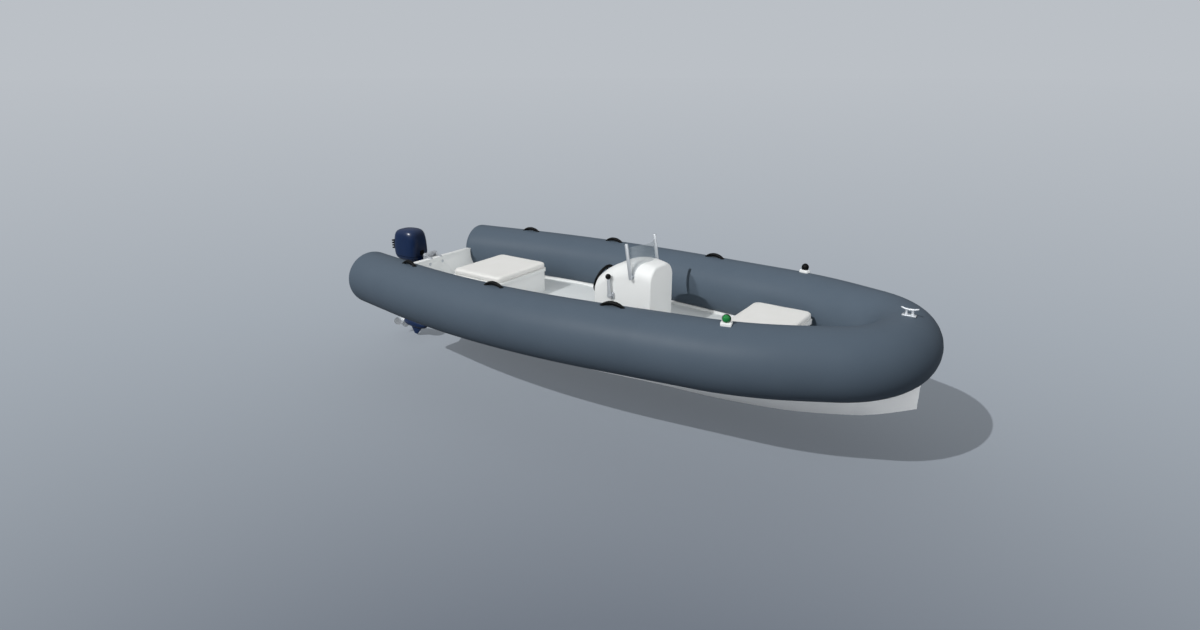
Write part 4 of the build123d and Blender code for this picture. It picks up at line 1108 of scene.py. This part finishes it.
def make_propeller():
    """A three-blade propeller cast in stainless: raked, twisted blades on a flared hub."""
    fore = TORPEDO_AFT - PROP_GAP
    middle = Vector((fore - PROP_HUB_L / 2, 0, PROP_Z))
    hub = [(PROP_BORE_R, 0), (PROP_HUB_R * 0.94, 0), (PROP_HUB_R, 0.004), (PROP_HUB_R * 0.97, 0.060),
           (PROP_HUB_R * 1.04, PROP_HUB_L), (PROP_HUB_R * 0.86, PROP_HUB_L), (PROP_HUB_R * 0.84, 0.060),
           (PROP_BORE_R, 0.058), (PROP_BORE_R, 0)]
    bm = bmesh.new()
    absorb(bm, turned(hub), aimed((fore, 0, PROP_Z), (-1, 0, 0)))
    for number in range(PROP_BLADES):
        blade = bmesh.new()
        bmesh.ops.create_grid(blade, x_segments=14, y_segments=14, size=1.0)
        for vertex in blade.verts:
            u, v = vertex.co.x, (vertex.co.y + 1) / 2
            radius = PROP_HUB_R * 0.9 + (PROP_R - PROP_HUB_R * 0.9) * v
            round_off = sqrt(max(1e-4, 1 - abs(1.9 * v - 0.95) ** 3))
            chord = BLADE_CHORD * round_off * (0.72 + 0.28 * sin(pi * v))
            pitch = atan(PROP_PITCH / (2 * pi * radius))
            lean = chord * u
            sweep = lean * cos(pitch) / radius
            vertex.co = (-lean * sin(pitch) - BLADE_RAKE * v * v, radius * sin(sweep), radius * cos(sweep))
        bmesh.ops.recalc_face_normals(blade, faces=blade.faces)
        bmesh.ops.solidify(blade, geom=blade.faces[:], thickness=BLADE_T)
        turn = Matrix.Rotation(radians(PROP_TURN + 360 / PROP_BLADES * number), 4, "X")
        absorb(bm, blade, Matrix.Translation(middle) @ turn)
    finished("propeller_casting", bm, STEEL, "screw", "propeller", crease=50.0)
    bm = bmesh.new()
    nut = [(0, 0), (0.020, 0), (0.020, 0.003), (0.0115, 0.004), (0.0115, 0.020), (0.009, 0.026), (0, 0.026)]
    absorb(bm, turned(nut, steps=24), aimed((fore - PROP_HUB_L + 0.014, 0, PROP_Z), (-1, 0, 0)))
    hexagon = bmesh.new()
    bmesh.ops.create_cone(hexagon, cap_ends=True, segments=6, radius1=NUT_R, radius2=NUT_R, depth=NUT_T)
    absorb(bm, hexagon, aimed((fore - PROP_HUB_L + 0.004, 0, PROP_Z), (-1, 0, 0)))
    shaft = [(0, 0), (PROP_SHAFT_R, 0), (PROP_SHAFT_R, PROP_SHAFT_L), (0, PROP_SHAFT_L)]
    absorb(bm, turned(shaft, steps=24), aimed((TORPEDO_AFT + 0.09, 0, PROP_Z), (-1, 0, 0)))
    finished("propeller_nut_and_shaft", bm, STEEL, "screw", "propeller_shaft")


def make_mount():
    """The motor's clamp, swivel and steering yoke and the transom they hang on, their edges eased."""
    softened("clamp_castings", "clamp_brackets", CASTING, "boat", CAST_EASE)
    softened("swivel_casting", "swivel_bracket", CASTING, "tilt_bracket", CAST_EASE)
    softened("yoke_casting", "steering_yoke", ENAMEL, "outboard", CAST_EASE)
    softened("mount_bolts", "mounting_bolts", STEEL, "boat", BOLT_EASE)
    softened("tilt_tube_and_nuts", "tilt_tube", STEEL, "boat", BOLT_EASE)
    softened("transom_board", "transom", GELCOAT, "boat", TRANSOM_EASE)
    softened("transom_capping", "transom_cap", GELCOAT, "boat", CAP_EASE)


# ---- stage, light and camera ----
CAMERA_AT = Vector((2.920, -4.731, 2.131))
CAMERA_TURN = radians(34.627)
CAMERA_DOWN = radians(19.458)
FOCAL_PX = 690.975
FRAME_W = 1200            # the render's full width in pixels
SENSOR = 36.0             # in millimetres
SUN_RUN = Vector((0.318, 1.127, -1.0))
SUN_STRENGTH = 1.7
SUN_SPREAD = 0.5
DEEP_STRENGTH = 1.25      # more of the same sun, on the deep finishes and the floor only
FILL_RUN = Vector((-0.72, 0.66, 0.21))
FILL_STRENGTH = 3.1
FILL_SPREAD = 140.0
PALE = (GELCOAT, HULL_GELCOAT_PAINTED_LIGHT, NON_SLIP, VINYL, STEEL, CASTING)
SKY_LOW = 0.15            # the surround's light at and below the horizon, and straight overhead
SKY_HIGH = 0.61
SURROUND = "#bbc0c6"
GROUND_Z = -0.633
FLOOR_R = 300.0
FLOOR_GLOW = 0.31         # share of the floor's tone that needs no light
# the floor's tones far off, halfway and near, by the angle in radians at which the camera looks down
FLOOR_TONES = ((0.0, SURROUND), (0.31, "#a2a9b1"), (0.76, "#747b85"))


def make_camera():
    """A level camera off the starboard bow, looking down on the boat."""
    data = bpy.data.cameras.new("camera")
    data.sensor_width = SENSOR
    data.lens = FOCAL_PX / FRAME_W * SENSOR
    data.clip_end = 500.0
    camera = bpy.data.objects.new("camera", data)
    camera.location = CAMERA_AT
    camera.rotation_euler = (pi / 2 - CAMERA_DOWN, 0, CAMERA_TURN)
    bpy.context.scene.collection.objects.link(camera)
    bpy.context.scene.camera = camera


def make_sun(name, run, strength, spread, shadow, lit=None):
    """A sun along run; if lit is given, it lights only the things in that collection."""
    data = bpy.data.lights.new(name, "SUN")
    data.energy = strength
    data.angle = radians(spread)
    data.use_shadow = shadow
    lamp = bpy.data.objects.new(name, data)
    lamp.rotation_euler = Vector((0, 0, -1)).rotation_difference(run).to_euler()
    bpy.context.scene.collection.objects.link(lamp)
    if lit:
        lamp.light_linking.receiver_collection = lit


def gathered(name, wanted):
    """A collection of the meshes whose finish is wanted."""
    group = bpy.data.collections.new(name)
    for thing in bpy.context.scene.objects:
        if thing.type == "MESH" and wanted(thing.data.materials[0]):
            group.objects.link(thing)
    return group


def make_world():
    """A plain pale surround that gives most light from overhead."""
    world = bpy.data.worlds.new("surround")
    bpy.context.scene.world = world
    world.use_nodes = True
    tree = world.node_tree
    light = tree.nodes["Background"]
    light.inputs["Color"].default_value = linear("#f0f3f6")
    way = add(tree, "ShaderNodeSeparateXYZ", {}, {0: add(tree, "ShaderNodeTexCoord").outputs["Generated"]})
    lift = add(tree, "ShaderNodeMapRange", {"From Max": 1.0, "To Min": SKY_LOW, "To Max": SKY_HIGH},
               {"Value": way.outputs["Z"]})
    tree.links.new(lift.outputs["Result"], light.inputs["Strength"])
    seen = add(tree, "ShaderNodeBackground", {"Color": linear(SURROUND), "Strength": 1.0})
    rays = add(tree, "ShaderNodeLightPath")
    plain = add(tree, "ShaderNodeMixShader", {}, {0: rays.outputs["Is Camera Ray"],
                                                  1: light.outputs["Background"],
                                                  2: seen.outputs["Background"]})
    tree.links.new(plain.outputs["Shader"], tree.nodes["World Output"].inputs["Surface"])


def make_floor():
    """A wide pale floor that darkens towards the camera and fades into the surround far off."""
    bm = bmesh.new()
    bmesh.ops.create_circle(bm, cap_ends=True, radius=FLOOR_R, segments=96)
    bmesh.ops.translate(bm, vec=(0, 0, GROUND_Z), verts=bm.verts)
    mesh = bpy.data.meshes.new("floor")
    bm.to_mesh(mesh)
    bm.free()
    floor = bpy.data.objects.new("floor", mesh)
    bpy.context.scene.collection.objects.link(floor)
    material, tree, shader, place = start_material("painted_floor", "#c0c5cb", 1.0, Specular_IOR_Level=0.0)
    apart = add(tree, "ShaderNodeVectorMath",
                {"operation": "DISTANCE", 1: (CAMERA_AT.x, CAMERA_AT.y, GROUND_Z)}, {0: place})
    # angle in radians of the line from the camera down to the floor
    slope = add(tree, "ShaderNodeMath", {"operation": "ARCTAN2", 0: CAMERA_AT.z - GROUND_Z},
                {1: apart.outputs["Value"]})
    ramp = add(tree, "ShaderNodeValToRGB", {}, {"Fac": slope.outputs["Value"]})
    while len(ramp.color_ramp.elements) < len(FLOOR_TONES):
        ramp.color_ramp.elements.new(0.5)
    for element, (position, code) in zip(ramp.color_ramp.elements, FLOOR_TONES):
        element.position = position
        element.color = linear(code)
    tree.links.new(ramp.outputs["Color"], shader.inputs["Base Color"])
    # the paint fades into the surround's own light with distance, and throws back little light itself
    fade = add(tree, "ShaderNodeMapRange",
               {"From Min": 0.30, "From Max": 0.02, "To Min": FLOOR_GLOW, "To Max": 1.0},
               {"Value": slope.outputs["Value"]})
    glow = add(tree, "ShaderNodeEmission", {"Strength": 1.0}, {"Color": ramp.outputs["Color"]})
    seen = add(tree, "ShaderNodeMixShader", {},
               {0: fade.outputs["Result"], 1: shader.outputs["BSDF"], 2: glow.outputs["Emission"]})
    dull = add(tree, "ShaderNodeBsdfDiffuse", {"Color": linear("#71767c")})
    rays = add(tree, "ShaderNodeLightPath")
    whole = add(tree, "ShaderNodeMixShader", {},
                {0: rays.outputs["Is Camera Ray"], 1: dull.outputs["BSDF"], 2: seen.outputs["Shader"]})
    tree.links.new(whole.outputs["Shader"], tree.nodes["Material Output"].inputs["Surface"])
    mesh.materials.append(material)


def make_lights_and_floor():
    """One hard sun and a soft surround; the pale finishes take less sun and a broad fill instead."""
    make_world()
    make_floor()
    pale = gathered("pale mouldings", lambda finish: finish in PALE)
    deep = gathered("deep finishes", lambda finish: finish not in PALE)
    make_sun("key", SUN_RUN, SUN_STRENGTH, SUN_SPREAD, True)
    make_sun("key_on_deep", SUN_RUN, DEEP_STRENGTH, SUN_SPREAD, True, deep)
    make_sun("fill_on_pale", FILL_RUN, FILL_STRENGTH, FILL_SPREAD, False, pale)


dress_frame()
make_collar()
make_hull()
make_console()
make_wheel()
make_bezel()
make_throttle()
make_screen()
make_seat("aft_seat", *AFT_SEAT, "aft_lid")
make_seat("bow_seat", *BOW_SEAT, "bow_lid")
make_handles()
make_lights()
make_cleat()
make_mount()
make_cowl()
make_leg()
make_propeller()
make_camera()
make_lights_and_floor()
bpy.context.scene.view_settings.view_transform = "Standard"
